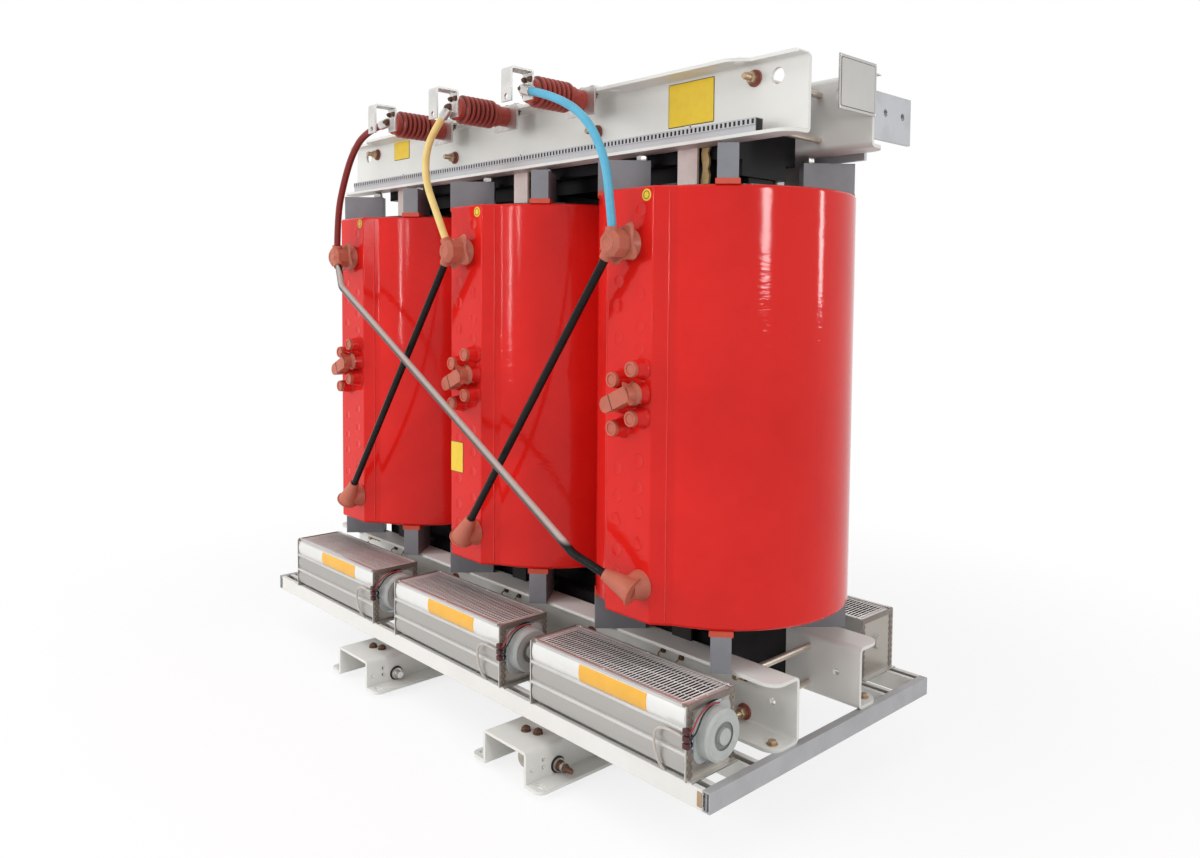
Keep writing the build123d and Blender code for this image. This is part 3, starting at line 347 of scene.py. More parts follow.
dress(cream, "long_rails")
galvanised = finish(
    "rail_grey", (0.4, 0.405, 0.42), (0.3, 0.305, 0.315), size=16.0, gloss=0.46, amount=0.6, grain=500.0,
    bump=0.0003, metallic=0.15, edge=0.002, worn=(0.62, 0.62, 0.62), dust=0.2)
dress(galvanised, "end_rails")


# Rail ends: the folded tongue inside each end rail, and black plates set into its open ends as painted
# shade for the inside of the channel.
# A tan plastic cap is pressed into the right end of each outer long rail.

RAIL_X, RAIL_Y = 0.9705, 0.4235
RAIL_LOW, RAIL_HIGH = 0.1532, 0.1898


def slab(bm, corner, opposite, ease):
    """A box between two opposite corners, with its edges eased."""
    made = bmesh.ops.create_cube(bm, size=1.0)["verts"]
    for vert in made:
        vert.co = [min(a, b) + (c + 0.5) * abs(b - a) for a, b, c in zip(corner, opposite, vert.co)]
    edges = list({edge for vert in made for edge in vert.link_edges})
    bmesh.ops.bevel(bm, geom=edges, offset=ease, segments=2, affect="EDGES", profile=0.5)


tan = finish("cap_tan", (0.4, 0.27, 0.16), (0.28, 0.17, 0.09), size=50.0, gloss=0.45, edge=0.0006)
# The black plates in the rail ends are painted shade for the inside of the channel.
tongues, channel_shades, caps = bmesh.new(), bmesh.new(), bmesh.new()
for side in SIDES:
    for end in SIDES:
        x, y = side * RAIL_X, end * RAIL_Y
        slab(tongues, (x - 0.0011, y, RAIL_LOW), (x + 0.0011, y - end * 0.03, RAIL_HIGH), 0.0003)
        slab(channel_shades, (x - 0.0074, y - end * 0.01, RAIL_LOW), (x + 0.0074, y - end * 0.016, RAIL_HIGH),
             0.0008)
    slab(caps, (0.948, side * 0.4236, 0.156), (0.9604, side * 0.4254, 0.187), 0.0006)
piece("rail_tongues", tongues, galvanised)
piece("rail_end_shades", channel_shades, black_and_painted_shade)
piece("rail_caps", caps, tan)


# Core: stacked silicon-steel sheets, cut and laid flat, then varnished black against rust.
# The sheet edges show as fine level lines on the yokes and limbs.

def pressed(material, height, strength, distance):
    """Add another height to a material's relief."""
    tree = material.node_tree
    normal = tree.nodes["Principled BSDF"].inputs["Normal"]
    stamp = add(tree, "Bump", Strength=strength, Distance=distance, Height=height,
                Normal=normal.links[0].from_socket)
    supply(tree, normal, stamp.outputs["Normal"])


varnish = finish(
    "core_steel", (0.007, 0.007, 0.009), (0.02, 0.016, 0.014), size=9.0, gloss=0.34, grain=400.0, shine=0.1,
    dust=0.02)
tree = varnish.node_tree
sheets = add(tree, "TexWave", {"bands_direction": "Y"}, Vector=here(tree), Scale=160.0,
             Distortion=0.6, Detail=1.0)
pressed(varnish, sheets.outputs["Fac"], strength=0.4, distance=0.0003)
dress(varnish, "core")


# Clamps: deep steel channels folded from plate, that press the yokes together front and back.
# The lower pair stands on the trolleys and the upper pair has the lifting holes, all in cream.

dress(cream, "lower_clamp_front", "lower_clamp_rear", "upper_clamp_front", "upper_clamp_rear")


# Tie rods: plated studs through both clamps, past the ends of the yokes.
# Their nuts sit on red-brown insulating washers, and so do the nuts of the core bolts.

CORE_BOLTS = [(-0.35, 1.592), (0.31, 1.592), (-0.342, 0.265), (0.305, 0.262)]
ROD_ENDS = [(side * 0.828, z) for side in SIDES for z in (0.22, 0.31, 1.5445, 1.6495)]
FIBRE_THICK, PLAIN_THICK = 0.005, 0.004

passivated = finish(
    "rod_steel", (0.52, 0.38, 0.25), (0.3, 0.19, 0.12), size=50.0, gloss=0.34, amount=0.6, grain=900.0,
    bump=0.0001, metallic=0.75)
plated = finish(
    "rod_plated", (0.66, 0.59, 0.51), (0.42, 0.33, 0.25), size=40.0, gloss=0.34, amount=0.55, grain=900.0,
    bump=0.0001, metallic=0.7)
dress(plated, "tie_rods")
fibre = finish(
    "washer_fibre", (0.26, 0.075, 0.05), (0.13, 0.03, 0.022), size=70.0, gloss=0.4, amount=0.7, grain=900.0,
    edge=0.0008, worn=(0.45, 0.22, 0.16))
washers, nuts = bmesh.new(), bmesh.new()
for side in SIDES:
    for x, z in ROD_ENDS + CORE_BOLTS:
        outward = (0, side, 0)
        seat = (x, side * (WEB_FACE - SINK), z)
        washer(washers, seat, outward, 0.019, FIBRE_THICK)
        washer(washers, (x, side * (WEB_FACE + FIBRE_THICK - SINK), z), outward, 0.015, PLAIN_THICK)
        hexagon(nuts, seat, outward, 0.024, 0.012, FIBRE_THICK + PLAIN_THICK - SINK, (0.008, 0.02))
piece("clamp_washers", washers, fibre)
piece("clamp_nuts", nuts, passivated)


# Foot bolts: plated hexagon bolts through the lower flanges into the feet at each end.
# They are yellow-passivated and stand on plain washers.

LOWER_FLANGE = 0.201

feet = bmesh.new()
for side in SIDES:
    for x in (-0.946, -0.4, 0.4, 0.946):
        bolt(feet, (x, side * 0.18, LOWER_FLANGE - SINK), UP, (0.013, 0.002), (0.017, 0.008))
piece("foot_bolts", feet, passivated)


# Flange plugs: white nylon buttons that close the spare holes of the upper flanges.
# They are snapped in and show a thin rim and a low dome on both faces.

UPPER_FLANGE = (1.68, 1.688)
PLUG = [(0, 0.012), (0.0008, 0.0125), (0.0016, 0.011), (0.0024, 0.006), (0.0026, 0.001)]

nylon = finish(
    "nylon_white", (0.82, 0.82, 0.8), (0.7, 0.69, 0.66), size=60.0, gloss=0.4, amount=0.4, grain=900.0,
    bump=0.0001)
plugs = bmesh.new()
for side in SIDES:
    for x in (-0.811, -0.412, 0.412, 0.811):
        turned(plugs, (x, side * 0.163, UPPER_FLANGE[0] + SINK), DOWN, PLUG)
        turned(plugs, (x, side * 0.163, UPPER_FLANGE[1] - SINK), UP, PLUG)
piece("flange_plugs", plugs, nylon)


# Temperature probes: pairs of brown metal glands on the lower clamp, one pair under each winding.
# A thin pale sensor wire hangs in a short loop from one gland to the other.

def wire(name, points, diameter, material):
    """A free wire along its route, from one piece of the transformer to another."""
    data = bpy.data.curves.new(name, "CURVE")
    data.dimensions = "3D"
    data.bevel_depth = 1.0
    data.bevel_resolution = 4
    data.resolution_u = 16
    data.use_fill_caps = True
    spline = data.splines.new("NURBS")
    spline.points.add(len(points) - 1)
    for point, place in zip(spline.points, points):
        point.co = (*place, 1)
        point.radius = diameter / 2
    spline.order_u = 3
    spline.use_endpoint_u = True
    data.materials.append(material)
    made = bpy.data.objects.new(name, data)
    bpy.context.scene.collection.objects.link(made)
    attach(made, "transformer")
    return made


straw = finish("wire_straw", (0.36, 0.25, 0.1), (0.24, 0.15, 0.06), size=60.0, gloss=0.4, grain=900.0)
glands = bmesh.new()
for name, x in (("left", -0.68), ("middle", -0.045), ("right", 0.6)):
    for dx, z in ((-0.03, 0.291), (0.031, 0.289)):
        washer(glands, (x + dx, -WEB_FACE + SINK, z), FRONT, 0.008, 0.0015)
        hexagon(glands, (x + dx, -WEB_FACE, z), FRONT, 0.011, 0.006, 0.0015, (0.0035, 0.004))
    wire("probe_wire_" + name,
         [(x - 0.03, -0.139, 0.291), (x - 0.031, -0.152, 0.288), (x - 0.024, -0.142, 0.272),
          (x + 0.003, -0.135, 0.268), (x + 0.025, -0.143, 0.275), (x + 0.031, -0.139, 0.289)],
         0.004, straw)
piece("probe_glands", glands, rusty)


# Tie plates: long glass-fibre straps beside each limb that tie the upper and lower clamps.
# They are pale pink above, and near black below, darker towards the bottom.

def tinted(material, share, colour):
    """Lay a colour over a material's own by a share socket."""
    tree = material.node_tree
    base = tree.nodes["Principled BSDF"].inputs["Base Color"]
    supply(tree, base, blended(tree, share, base.links[0].from_socket, colour))


strap = finish(
    "tie_plate", (0.72, 0.63, 0.6), (0.56, 0.45, 0.42), size=18.0, gloss=0.42, amount=0.6, grain=500.0,
    edge=0.001)
tree = strap.node_tree
# Darker towards the bottom: near black below about 0.56 m.
dark_below = ramp(tree, split(tree, here(tree))["Z"], low=0.66, high=0.56)
tinted(strap, dark_below, (0.022, 0.02, 0.02))
dress(strap, "tie_plates")


# Limb boards: strips of yellowish pressboard that pack each strap against the limb.
# They are cut with a knife, so the edges are a little uneven.

BOARD_STEPS, BOARD_FOOT, BOARD_STEP = 8, 1.425, 0.0125
BOARD_OUT, BOARD_IN = 0.13, 0.124
WAVER = 0.003

pressboard = finish(
    "pressboard", (0.5, 0.37, 0.17), (0.32, 0.21, 0.09), size=40.0, gloss=0.6, amount=0.7, grain=300.0,
    bump=0.0006)
boards = bmesh.new()
for x_c in PHASES:
    for side in SIDES:
        rows = []
        for i in range(BOARD_STEPS):
            x0 = x_c + 0.036 + WAVER * math.sin(5 * i + x_c * 9)
            x1 = x_c + 0.057 + WAVER * math.sin(4 * i + 1 + x_c * 7)
            z = BOARD_FOOT + BOARD_STEP * i
            corners = ((x0, BOARD_OUT), (x1, BOARD_OUT), (x1, BOARD_IN), (x0, BOARD_IN))
            rows.append([boards.verts.new((x, side * y, z)) for x, y in corners])
        skin(boards, rows)
piece("limb_boards", boards, pressboard)


# Low-voltage windings: aluminium foil wound with insulation and sealed in dark glossy resin.
# The resin ran while it set, so the surface hangs in upright runs that glint.

def stretched(tree, scale, detail):
    """Noise with its own scale along each axis."""
    squash = add(tree, "Mapping", Vector=here(tree), Scale=scale)
    return noise(tree, squash.outputs["Vector"], 1.0, detail)


black_resin = finish(
    "lv_resin", (0.01, 0.009, 0.01), (0.03, 0.026, 0.026), size=12.0, gloss=0.16, amount=0.6, grain=120.0,
    bump=0.001, shine=0.5)
runs = stretched(black_resin.node_tree, (60.0, 60.0, 5.0), detail=3.0)
pressed(black_resin, runs, strength=0.8, distance=0.006)
dress(black_resin, "lv_windings")


# High-voltage windings: coils cast in red epoxy under vacuum, with a raised flat for the taps.
# The mould leaves faint level ripples, so the gloss breaks up in bands.

red_resin = finish(
    "hv_resin", (0.67, 0.014, 0.01), (0.52, 0.008, 0.006), size=4.0, gloss=0.1, amount=0.6, grain=300.0,
    bump=0.0001, shine=0.23, edge=0.003, worn=(0.76, 0.05, 0.035))
ripple = stretched(red_resin.node_tree, (26.0, 26.0, 110.0), detail=2.0)
pressed(red_resin, ripple, strength=0.7, distance=0.0007)
dress(red_resin, "hv_winding_left", "hv_winding_middle", "hv_winding_right")


# Mould plugs: round marks down the flats where the mould's tap inserts were screwed shut.
# They are cast in one with the winding and stand proud by less than a millimetre.

TOP_CAP_Z, FOOT_CAP_X, FOOT_CAP_Z = 1.282, 0.042, 0.52
TAPS_Z, TAPS_CLEAR, CAP_CLEAR, MARKS_TOP = 0.938, 0.11, 0.062, 1.365
MARK = [(0, 0.0172), (0.00045, 0.0171), (0.00055, 0.0162), (0.00055, 0.0154), (0.00048, 0.0144),
        (0.00048, 0.001)]

marks = bmesh.new()
for x_c in PHASES:
    for i in range(14):
        for dx, dz in ((-0.036, 0.0), (0.032, 0.028)):
            z = 0.53 + dz + 0.061 * i + 0.006 * math.sin(2.3 * i + dx * 90)
            to_cap = min(math.hypot(dx, z - TOP_CAP_Z), math.hypot(dx - FOOT_CAP_X, z - FOOT_CAP_Z))
            if abs(z - TAPS_Z) > TAPS_CLEAR and z < MARKS_TOP and to_cap > CAP_CLEAR:
                turned(marks, (x_c + dx, FLAT_FACE + 2 * SINK, z), FRONT, MARK, 32)
piece("mould_plugs", marks, red_resin)


# Mould seams: fine upright beads on the slopes beside each flat, where the mould's parts met.
# Each is cast in one with the winding and catches the light along its whole height.

SEAM_X, SEAM_Y, SEAM_FOOT = 0.098, -0.3028, 0.445
BEAD = [(0, 0.001), (0.004, 0.002), (0.3, 0.0017), (0.65, 0.002), (0.949, 0.0017), (0.953, 0.0008)]

bead_resin = finish(
    "bead_resin", (0.7, 0.02, 0.014), (0.56, 0.01, 0.008), size=30.0, gloss=0.16, grain=300.0, bump=0.0001,
    shine=0.5)
seams = bmesh.new()
for x_c in PHASES:
    for side in SIDES:
        turned(seams, (x_c + side * SEAM_X, SEAM_Y, SEAM_FOOT), UP, BEAD, 16)
piece("mould_seams", seams, bead_resin)


# Tap bosses: tapered red sockets cast round the six tap studs of each winding.
# They belong to the same casting and swell out where they meet the flat.

LINKED = (0.9245, 0.9515)
TAPS = [(-0.018, z) for z in (0.979, LINKED[0], 0.87)] + [(0.042, z) for z in (1.006, LINKED[1], 0.897)]

bosses = bmesh.new()
for x_c in PHASES:
    for dx, z in TAPS:
        long = 0.0255 if z in LINKED else 0.03
        turned(bosses, (x_c + dx, FLAT_FACE + 2 * SINK, z), FRONT,
               [(0, 0.0262), (0.002, 0.024), (0.006, 0.0222), (long - 0.002, 0.0186), (long, 0.0178)], 32)
piece("tap_bosses", bosses, red_resin)


# Phase discs: bare yellow enamel buttons with a darker rim, glued on top of each flat.
# Each is punched from thin sheet.

DISC = [(0, 0.0135), (0.0009, 0.0135), (0.0012, 0.0128), (0.0012, 0.001)]
DISC_RIM = [(0.001, 0.0075), (0.001, 0.0095), (0.0015, 0.0094), (0.0015, 0.0076)]


def hoop(bm, at, axis, profile, sides=40):
    """A closed ring: corners of distance along the axis and radius, joined end to end."""
    loops = [loop(bm, at, axis, along, [radius] * sides) for along, radius in profile]
    bridge(bm, loops + loops[:1])


enamel = finish(
    "enamel_yellow", (0.8, 0.56, 0.045), (0.66, 0.43, 0.03), size=40.0, gloss=0.36, amount=0.4, bump=0.0001,
    edge=0.0006)
ink = finish("rim_dark", (0.1, 0.075, 0.03), (0.05, 0.04, 0.02), size=60.0, gloss=0.45, bump=0.0001)
discs, rims = bmesh.new(), bmesh.new()
for x_c in PHASES:
    at = (x_c + 0.051, FLAT_FACE + SINK, 1.388)
    turned(discs, at, FRONT, DISC, 32)
    hoop(rims, at, FRONT, DISC_RIM, 32)
piece("phase_discs", discs, enamel)
piece("phase_rims", rims, ink)


# Supports: moulded grey blocks under steel levelling screws, each on a red silicone pad.
# The blocks carry the windings from the clamps and keep them centred on the limbs.

polymer = finish(
    "block_grey", (0.225, 0.23, 0.25), (0.165, 0.165, 0.18), size=14.0, gloss=0.42, grain=600.0,
    bump=0.0003, edge=0.002, worn=(0.36, 0.36, 0.38), dust=0.15)
dress(polymer, "support_blocks")
silicone = finish(
    "pad_silicone", (0.58, 0.085, 0.05), (0.44, 0.055, 0.03), size=30.0, gloss=0.5, grain=600.0,
    bump=0.0003, edge=0.001)
dress(silicone, "support_pads")


# Levelling nuts: plated hexagon nuts on the screws between the top blocks and the clamp.
# A washer under each spreads the load on the block.

SCREW_X, SCREW_Y, BLOCK_TOP = 0.1356, 0.156, 1.495

nuts = bmesh.new()
for x_c in PHASES:
    for side in SIDES:
        for end in SIDES:
            at = (x_c + side * SCREW_X, end * SCREW_Y, BLOCK_TOP - SINK)
            bolt(nuts, at, UP, (0.0155, 0.002), (0.024, 0.013))
piece("levelling_nuts", nuts, zinc)


# Caps and links: moulded terracotta rubber over the winding ends and the tap studs.
# Each is pushed on by hand and gripped by its own stretch.

terracotta = finish(
    "cap_rubber", (0.47, 0.135, 0.085), (0.34, 0.085, 0.052), size=22.0, gloss=0.4, amount=0.6, grain=500.0,
    bump=0.0003, edge=0.0015, worn=(0.62, 0.25, 0.18))
dress(terracotta, "top_caps", "bottom_caps", "tap_links")


# Tap ends: rubber buttons on the four free tap studs of each winding, dished in the middle.
# They keep dust off the brass inserts.

STUD_FACE = -0.354
BUTTON = [(0, 0.0178), (0.002, 0.018), (0.0098, 0.0174), (0.011, 0.016), (0.011, 0.013),
          (0.009, 0.0114), (0.0088, 0.002)]

buttons = bmesh.new()
for x_c in PHASES:
    for dx, z in TAPS:
        if z not in LINKED:
            turned(buttons, (x_c + dx, STUD_FACE, z), FRONT, BUTTON, 28)
piece("tap_buttons", buttons, terracotta)


# Cap skirts: thin four-pointed lips moulded on the caps and links, where they meet the winding.
# Fingers pull on the points to take a cap off.

SKIRT_SIDES = 48
LINK_LEAN = math.radians(-24.2)


def skirt(bm, at, axis, point, waist, thick, flare, turn):
    """A lip with four points and hollow sides, flaring along its axis and dished at its end."""
    peaks = [abs(math.cos(2 * math.tau * i / SKIRT_SIDES)) ** 3 for i in range(SKIRT_SIDES)]
    loops = []
    for along, grow in ((0, 0.0), (thick, flare * 0.4), (thick * 1.6, flare)):
        radii = [waist + (point - waist) * peak + grow * (0.3 + peak) for peak in peaks]
        loops.append(loop(bm, at, axis, along, radii, turn))
    loops.append(loop(bm, at, axis, thick * 0.8, [waist * 0.55] * SKIRT_SIDES, turn))
    skin(bm, loops)


def gather(whole, part):
    """Move the faces of one mesh into another."""
    copy = bpy.data.meshes.new("copy")
    part.to_mesh(copy)
    part.free()
    whole.from_mesh(copy)
    bpy.data.meshes.remove(copy)


skirts, joints = bmesh.new(), bmesh.new()
for x_c in PHASES:
    skirt(skirts, (x_c, -0.356, TOP_CAP_Z), (0, 1, 0), 0.047, 0.0345, 0.004, 0.006, 0.6)
    skirt(skirts, (x_c + 0.046, -0.366, 0.9535), (0.9, 0.22, 0.38), 0.03, 0.019, 0.003, 0.005, 0.8)
    band = bmesh.new()
    slab(band, (-0.0013, -0.0156, -0.0184), (0.0013, 0.015, 0.0184), 0.0008)
    lean = Matrix.Translation((x_c - 0.002, -0.367, 0.9317)) @ Matrix.Rotation(LINK_LEAN, 4, "Y")
    bmesh.ops.transform(band, matrix=lean, verts=band.verts)
    gather(joints, band)
piece("cap_skirts", skirts, terracotta)
piece("link_joints", joints, black_and_painted_shade)


# Cap fronts: an eight-sided plug with a raised ring on each top cap, pressed in from the front.
# Two plated screws on its left cheek clamp the lug of the lead inside.

CAP_FRONT = [(0, 0.0215), (0.002, 0.0215), (0.003, 0.0195), (0.003, 0.015), (0.0016, 0.014),
             (0.0016, 0.002)]

fronts, screws = bmesh.new(), bmesh.new()
for x_c in PHASES:
    turned(fronts, (x_c, -0.395, TOP_CAP_Z), FRONT, CAP_FRONT, 8)
    for dz in (0.01, -0.01):
        hexagon(screws, (x_c - 0.027, -0.38, TOP_CAP_Z + dz), (-1, -0.25, 0), 0.009, 0.007, 0.0005)
piece("cap_fronts", fronts, terracotta)
piece("cap_screws", screws, zinc)


# Delta bars: bent copper rods in shrunk sleeves, black on two and smoke grey on most of the longest.
# Their ends are pushed into the caps, to join the windings in a ring; the grey one is painted pale on top,
# a painted highlight, and dark below, painted shade.

sleeve = finish(
    "bar_sleeve", (0.008, 0.008, 0.008), (0.018, 0.016, 0.015), size=20.0, gloss=0.28, grain=300.0,
    bump=0.0003, shine=0.14)
tree = sleeve.node_tree
# Painted light on the grey sleeve: pale where it faces up, a painted highlight, and dark where it faces
# down, painted shade.
painted_top_light = ramp(tree, split(tree, facing(tree))["Z"], low=0.05, high=0.62)
smoke = blended(tree, painted_top_light, (0.09, 0.075, 0.07), (0.47, 0.405, 0.375))
point = split(tree, here(tree))
longest = ramp(tree, point["Y"], low=-0.39, high=-0.394)
above_cap = ramp(tree, point["Z"], low=0.594, high=0.606)
tinted(sleeve, maths(tree, "MULTIPLY", longest, above_cap), smoke)
dress(sleeve, "delta_bars")


# Posts: ribbed resin insulators on the upper clamp, each cast in one piece.
# Steel plates bolted to the clamp hold them; the neutral bar's small posts are cast alike.

POST_REACH, POST_Z = 0.16, 1.663
RIBS_MIDDLE, RIBS_HALF = -0.295, 0.0535
POST_BOLT_Y, PLATE_TOP = -0.172, 1.694

post_resin = finish(
    "post_resin", (0.36, 0.05, 0.034), (0.24, 0.028, 0.02), size=20.0, gloss=0.3, grain=500.0, shine=0.3,
    edge=0.0015, worn=(0.46, 0.08, 0.055))
tree = post_resin.node_tree
# Painted shade: the ribbed part is painted near black at the bottom of its grooves, by depth from the
# post's axis.
point = split(tree, here(tree))
aside = maths(tree, "WRAP", point["X"], POST_REACH, -POST_REACH)
spoke = add(tree, "CombineXYZ", X=aside, Z=maths(tree, "SUBTRACT", point["Z"], POST_Z))
painted_groove_shade = ramp(tree, maths(tree, "LENGTH", spoke.outputs[0], kind=VECTORS), low=0.0372, high=0.0318)
ribbed = maths(tree, "COMPARE", point["Y"], RIBS_MIDDLE, RIBS_HALF)
tinted(post_resin, maths(tree, "MULTIPLY", painted_groove_shade, ribbed), (0.06, 0.01, 0.008))
dress(post_resin, "post_insulators", "neutral_supports")
bolts = bmesh.new()
for x in POSTS:
    for dx in (-0.018, 0.022):
        spot = (x + dx, POST_BOLT_Y)
        bolt(bolts, (*spot, UPPER_FLANGE[0] + SINK), DOWN, (0.012, 0.002), (0.016, 0.009), (0.005, 0.006))
        hexagon(bolts, (*spot, PLATE_TOP - SINK), UP, 0.016, 0.007)
piece("post_bolts", bolts, rusty)


# Line terminals: tinned copper strips bent into a loop on the end of each post.
# A bolt through each holds the lug of the lead.

tin = finish(
    "tinned_copper", (0.72, 0.71, 0.69), (0.5, 0.48, 0.45), size=26.0, gloss=0.3, amount=0.6, metallic=0.8,
    edge=0.001, worn=(0.85, 0.84, 0.82))
dress(tin, "line_terminals")
bolts = bmesh.new()
for x in POSTS:
    bolt(bolts, (x, -0.3798, POST_Z), FRONT, (0.011, 0.002), (0.017, 0.008), (0.005, 0.005))
    for dx in (-0.011, 0.011):
        bolt(bolts, (x + dx, -0.3668, 1.688), FRONT, (0.0075, 0.0015), (0.011, 0.006), (0.003, 0.003))
piece("terminal_bolts", bolts, rusty)


# Low-voltage flags and neutral bar: flat bars of hard aluminium, cut, bent and drilled.
# They are left bare, so they carry grey blooms.

bar_metal = finish(
    "bar_metal", (0.47, 0.48, 0.5), (0.3, 0.315, 0.33), size=9.0, gloss=0.36, amount=0.8, grain=500.0,
    bump=0.0003, metallic=0.45, edge=0.001, worn=(0.7, 0.7, 0.71))
dress(bar_metal, "lv_terminals", "neutral_bar")


# Leads: three stranded cables in coloured sleeves, from the line strips down to the top caps.
# Each is pushed into a crimped lug at both ends and keeps the bend it was given.

def lead(hue, clean, stain, points):
    """One coloured cable along its route, in place of its CAD node."""
    cover = finish("lead_" + hue, clean, stain, size=24.0, gloss=0.36, amount=0.6, grain=300.0, bump=0.0004)
    cable = wire("lead_cable_" + hue, points, 0.02, cover)
    cable.data.bevel_resolution = 8
    cable.data.resolution_u = 24
    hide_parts("hv_lead_" + hue)


RED_FOOT = (-0.635, -0.38, 1.3085)
YELLOW_FOOT = (-0.0114, -0.3805, 1.3064)
BLUE_FOOT = (0.6395, -0.3805, 1.3089)

lead("red", (0.2, 0.018, 0.014), (0.13, 0.01, 0.009),
     [(-0.3538, -0.3811, 1.6595), (-0.445, -0.384, 1.65), (-0.52, -0.388, 1.592),
      (-0.572, -0.39, 1.505), (-0.615, -0.388, 1.415), RED_FOOT])
lead("yellow", (0.78, 0.59, 0.22), (0.66, 0.46, 0.14),
     [(-0.0263, -0.3821, 1.6416), (-0.075, -0.386, 1.602), (-0.102, -0.39, 1.545),
      (-0.095, -0.392, 1.47), (-0.055, -0.39, 1.4), YELLOW_FOOT])
lead("blue", (0.11, 0.42, 0.6), (0.06, 0.29, 0.46),
     [(0.3528, -0.381, 1.6539), (0.45, -0.384, 1.627), (0.56, -0.388, 1.565),
      (0.622, -0.39, 1.475), (0.638, -0.388, 1.39), BLUE_FOOT])


# Lead collars: short black rings at the foot of each lead, where it enters its cap.

COLLAR = [(0, 0.0095), (0, 0.0118), (0.0045, 0.0116), (0.0055, 0.0108), (0.0055, 0.0095)]

collars = bmesh.new()
for foot, head in ((RED_FOOT, (-0.626, -0.385, 1.356)), (YELLOW_FOOT, (-0.033, -0.386, 1.353)),
                   (BLUE_FOOT, (0.6388, -0.385, 1.35))):
    hoop(collars, foot, Vector(head) - Vector(foot), COLLAR, 28)
piece("lead_collars", collars, black_and_painted_shade)


# Fans: rolled aluminium cross-flow housings under the coils, blowing up between the windings.
# A flat motor, painted grey, sits on one end of each.

FAN_PITCH, FAN_SHIFT, FAN_ROW = 0.625, 0.044, 0.279
SHAFT_Y, MOTOR_Z, ROTOR_Z = -0.0725, 0.2765, 0.269
RECESS_MIDDLE, RECESS_HALF = 0.0233, 0.0058

aluminium = finish(
    "fan_aluminium", (0.66, 0.65, 0.63), (0.5, 0.485, 0.46), size=7.0, gloss=0.36, amount=0.55, grain=500.0,
    metallic=0.7, edge=0.001, worn=(0.88, 0.88, 0.87))
tree = aluminium.node_tree
# Painted shade: faces that look along X, the housing ends, are darkened.
end_face_shade = maths(tree, "ABSOLUTE", split(tree, facing(tree, "True Normal"))["X"])
tinted(aluminium, ramp(tree, end_face_shade, low=0.8, high=0.95), (0.4, 0.37, 0.33))
dress(aluminium, "fan_housings_front", "fan_housings_rear")
motor_paint = finish(
    "motor_grey", (0.44, 0.465, 0.45), (0.34, 0.355, 0.34), size=25.0, gloss=0.42, grain=500.0, edge=0.001,
    worn=(0.58, 0.6, 0.59))
tree = motor_paint.node_tree
# Painted shade: a ring round the hub, in the recess of the cover, is darkened.
point = split(tree, here(tree))
spoke = add(tree, "CombineXYZ", Y=maths(tree, "ABSOLUTE", point["Y"]), Z=point["Z"])
hub = (0, FAN_ROW - SHAFT_Y, MOTOR_Z)
from_hub = maths(tree, "DISTANCE", spoke.outputs[0], hub, kind=VECTORS)
tinted(motor_paint, maths(tree, "COMPARE", from_hub, RECESS_MIDDLE, RECESS_HALF), (0.2, 0.21, 0.2))
dress(motor_paint, "fan_motors_front", "fan_motors_rear")


# Fan ends: strips of punched brown-zinc steel that frame both ends of every housing.
# A row of small holes runs down each upright, and a plain strip caps the top.

HALF_TURN = Matrix.Rotation(math.pi, 4, "Z")
FANS = [Matrix.Translation((k * FAN_PITCH + FAN_SHIFT, -FAN_ROW, 0)) for k in (-1, 0, 1)]
FANS += [Matrix.Translation((k * FAN_PITCH, FAN_ROW, 0)) @ HALF_TURN for k in (-1, 0, 1)]
FAN_END, FAN_TOP, FAN_SHEET = 0.2508, 0.3512, 0.0016
STRIP_HOLES, HOLE_HALVES = 9, (0.0024, 0.0024)


def at_fans(form):
    """One mesh with a form repeated at the six fans."""
    whole = bmesh.new()
    for place in FANS:
        one = bmesh.new()
        form(one)
        bmesh.ops.transform(one, matrix=place, verts=one.verts)
        gather(whole, one)
    return whole


def punched(bm, corner, along, across, thick, cells, hole, points=8):
    """A strip of equal cells, each with a hole right through; hole gives its half sizes."""
    corner, along, across, thick = (Vector(v) for v in (corner, along, across, thick))
    half_along, half_across = along.normalized() * hole[0], across.normalized() * hole[1]
    for i in range(cells):
        middle = corner + along * (i + 0.5) + across * 0.5
        loops = [[], [], [], []]
        for j in range(points):
            angle = math.tau * (j + 0.5) / points
            c, s = math.cos(angle), math.sin(angle)
            square = max(abs(c), abs(s))
            drawn = square if points == 4 else 1.0
            edge = middle + along * (0.5 * c / square) + across * (0.5 * s / square)
            inner = middle + half_along * (c / drawn) + half_across * (s / drawn)
            for corners, place in zip(loops, (edge + thick, inner + thick, inner, edge)):
                corners.append(bm.verts.new(place))
        bridge(bm, loops)
    bmesh.ops.remove_doubles(bm, verts=bm.verts, dist=0.00002)
    bmesh.ops.bridge_loops(bm, edges=[edge for edge in bm.edges if edge.is_boundary])


def end_strips(bm):
    """The frame on both ends of one fan, in the fan's own place."""
    for side in SIDES:
        face, out = side * FAN_END, side * FAN_SHEET
        for y in (-0.1452, -0.0148):
            strip = bmesh.new()
            punched(strip, (face, y, 0.197), (0, 0, 0.0155), (0, 0.015, 0), (out, 0, 0), STRIP_HOLES,
                    HOLE_HALVES)
            gather(bm, strip)
        slab(bm, (face, -0.1452, 0.3365), (face + out, 0.0002, FAN_TOP), 0.0004)
        slab(bm, (face, -0.1464, 0.344), (face - 9 * out, -0.144, FAN_TOP), 0.0004)


bronze = finish(
    "strip_brown", (0.23, 0.19, 0.165), (0.125, 0.095, 0.08), size=45.0, gloss=0.4, amount=0.7, grain=800.0,
    metallic=0.5, edge=0.0008, worn=(0.46, 0.38, 0.34))
piece("fan_end_strips", at_fans(end_strips), bronze)


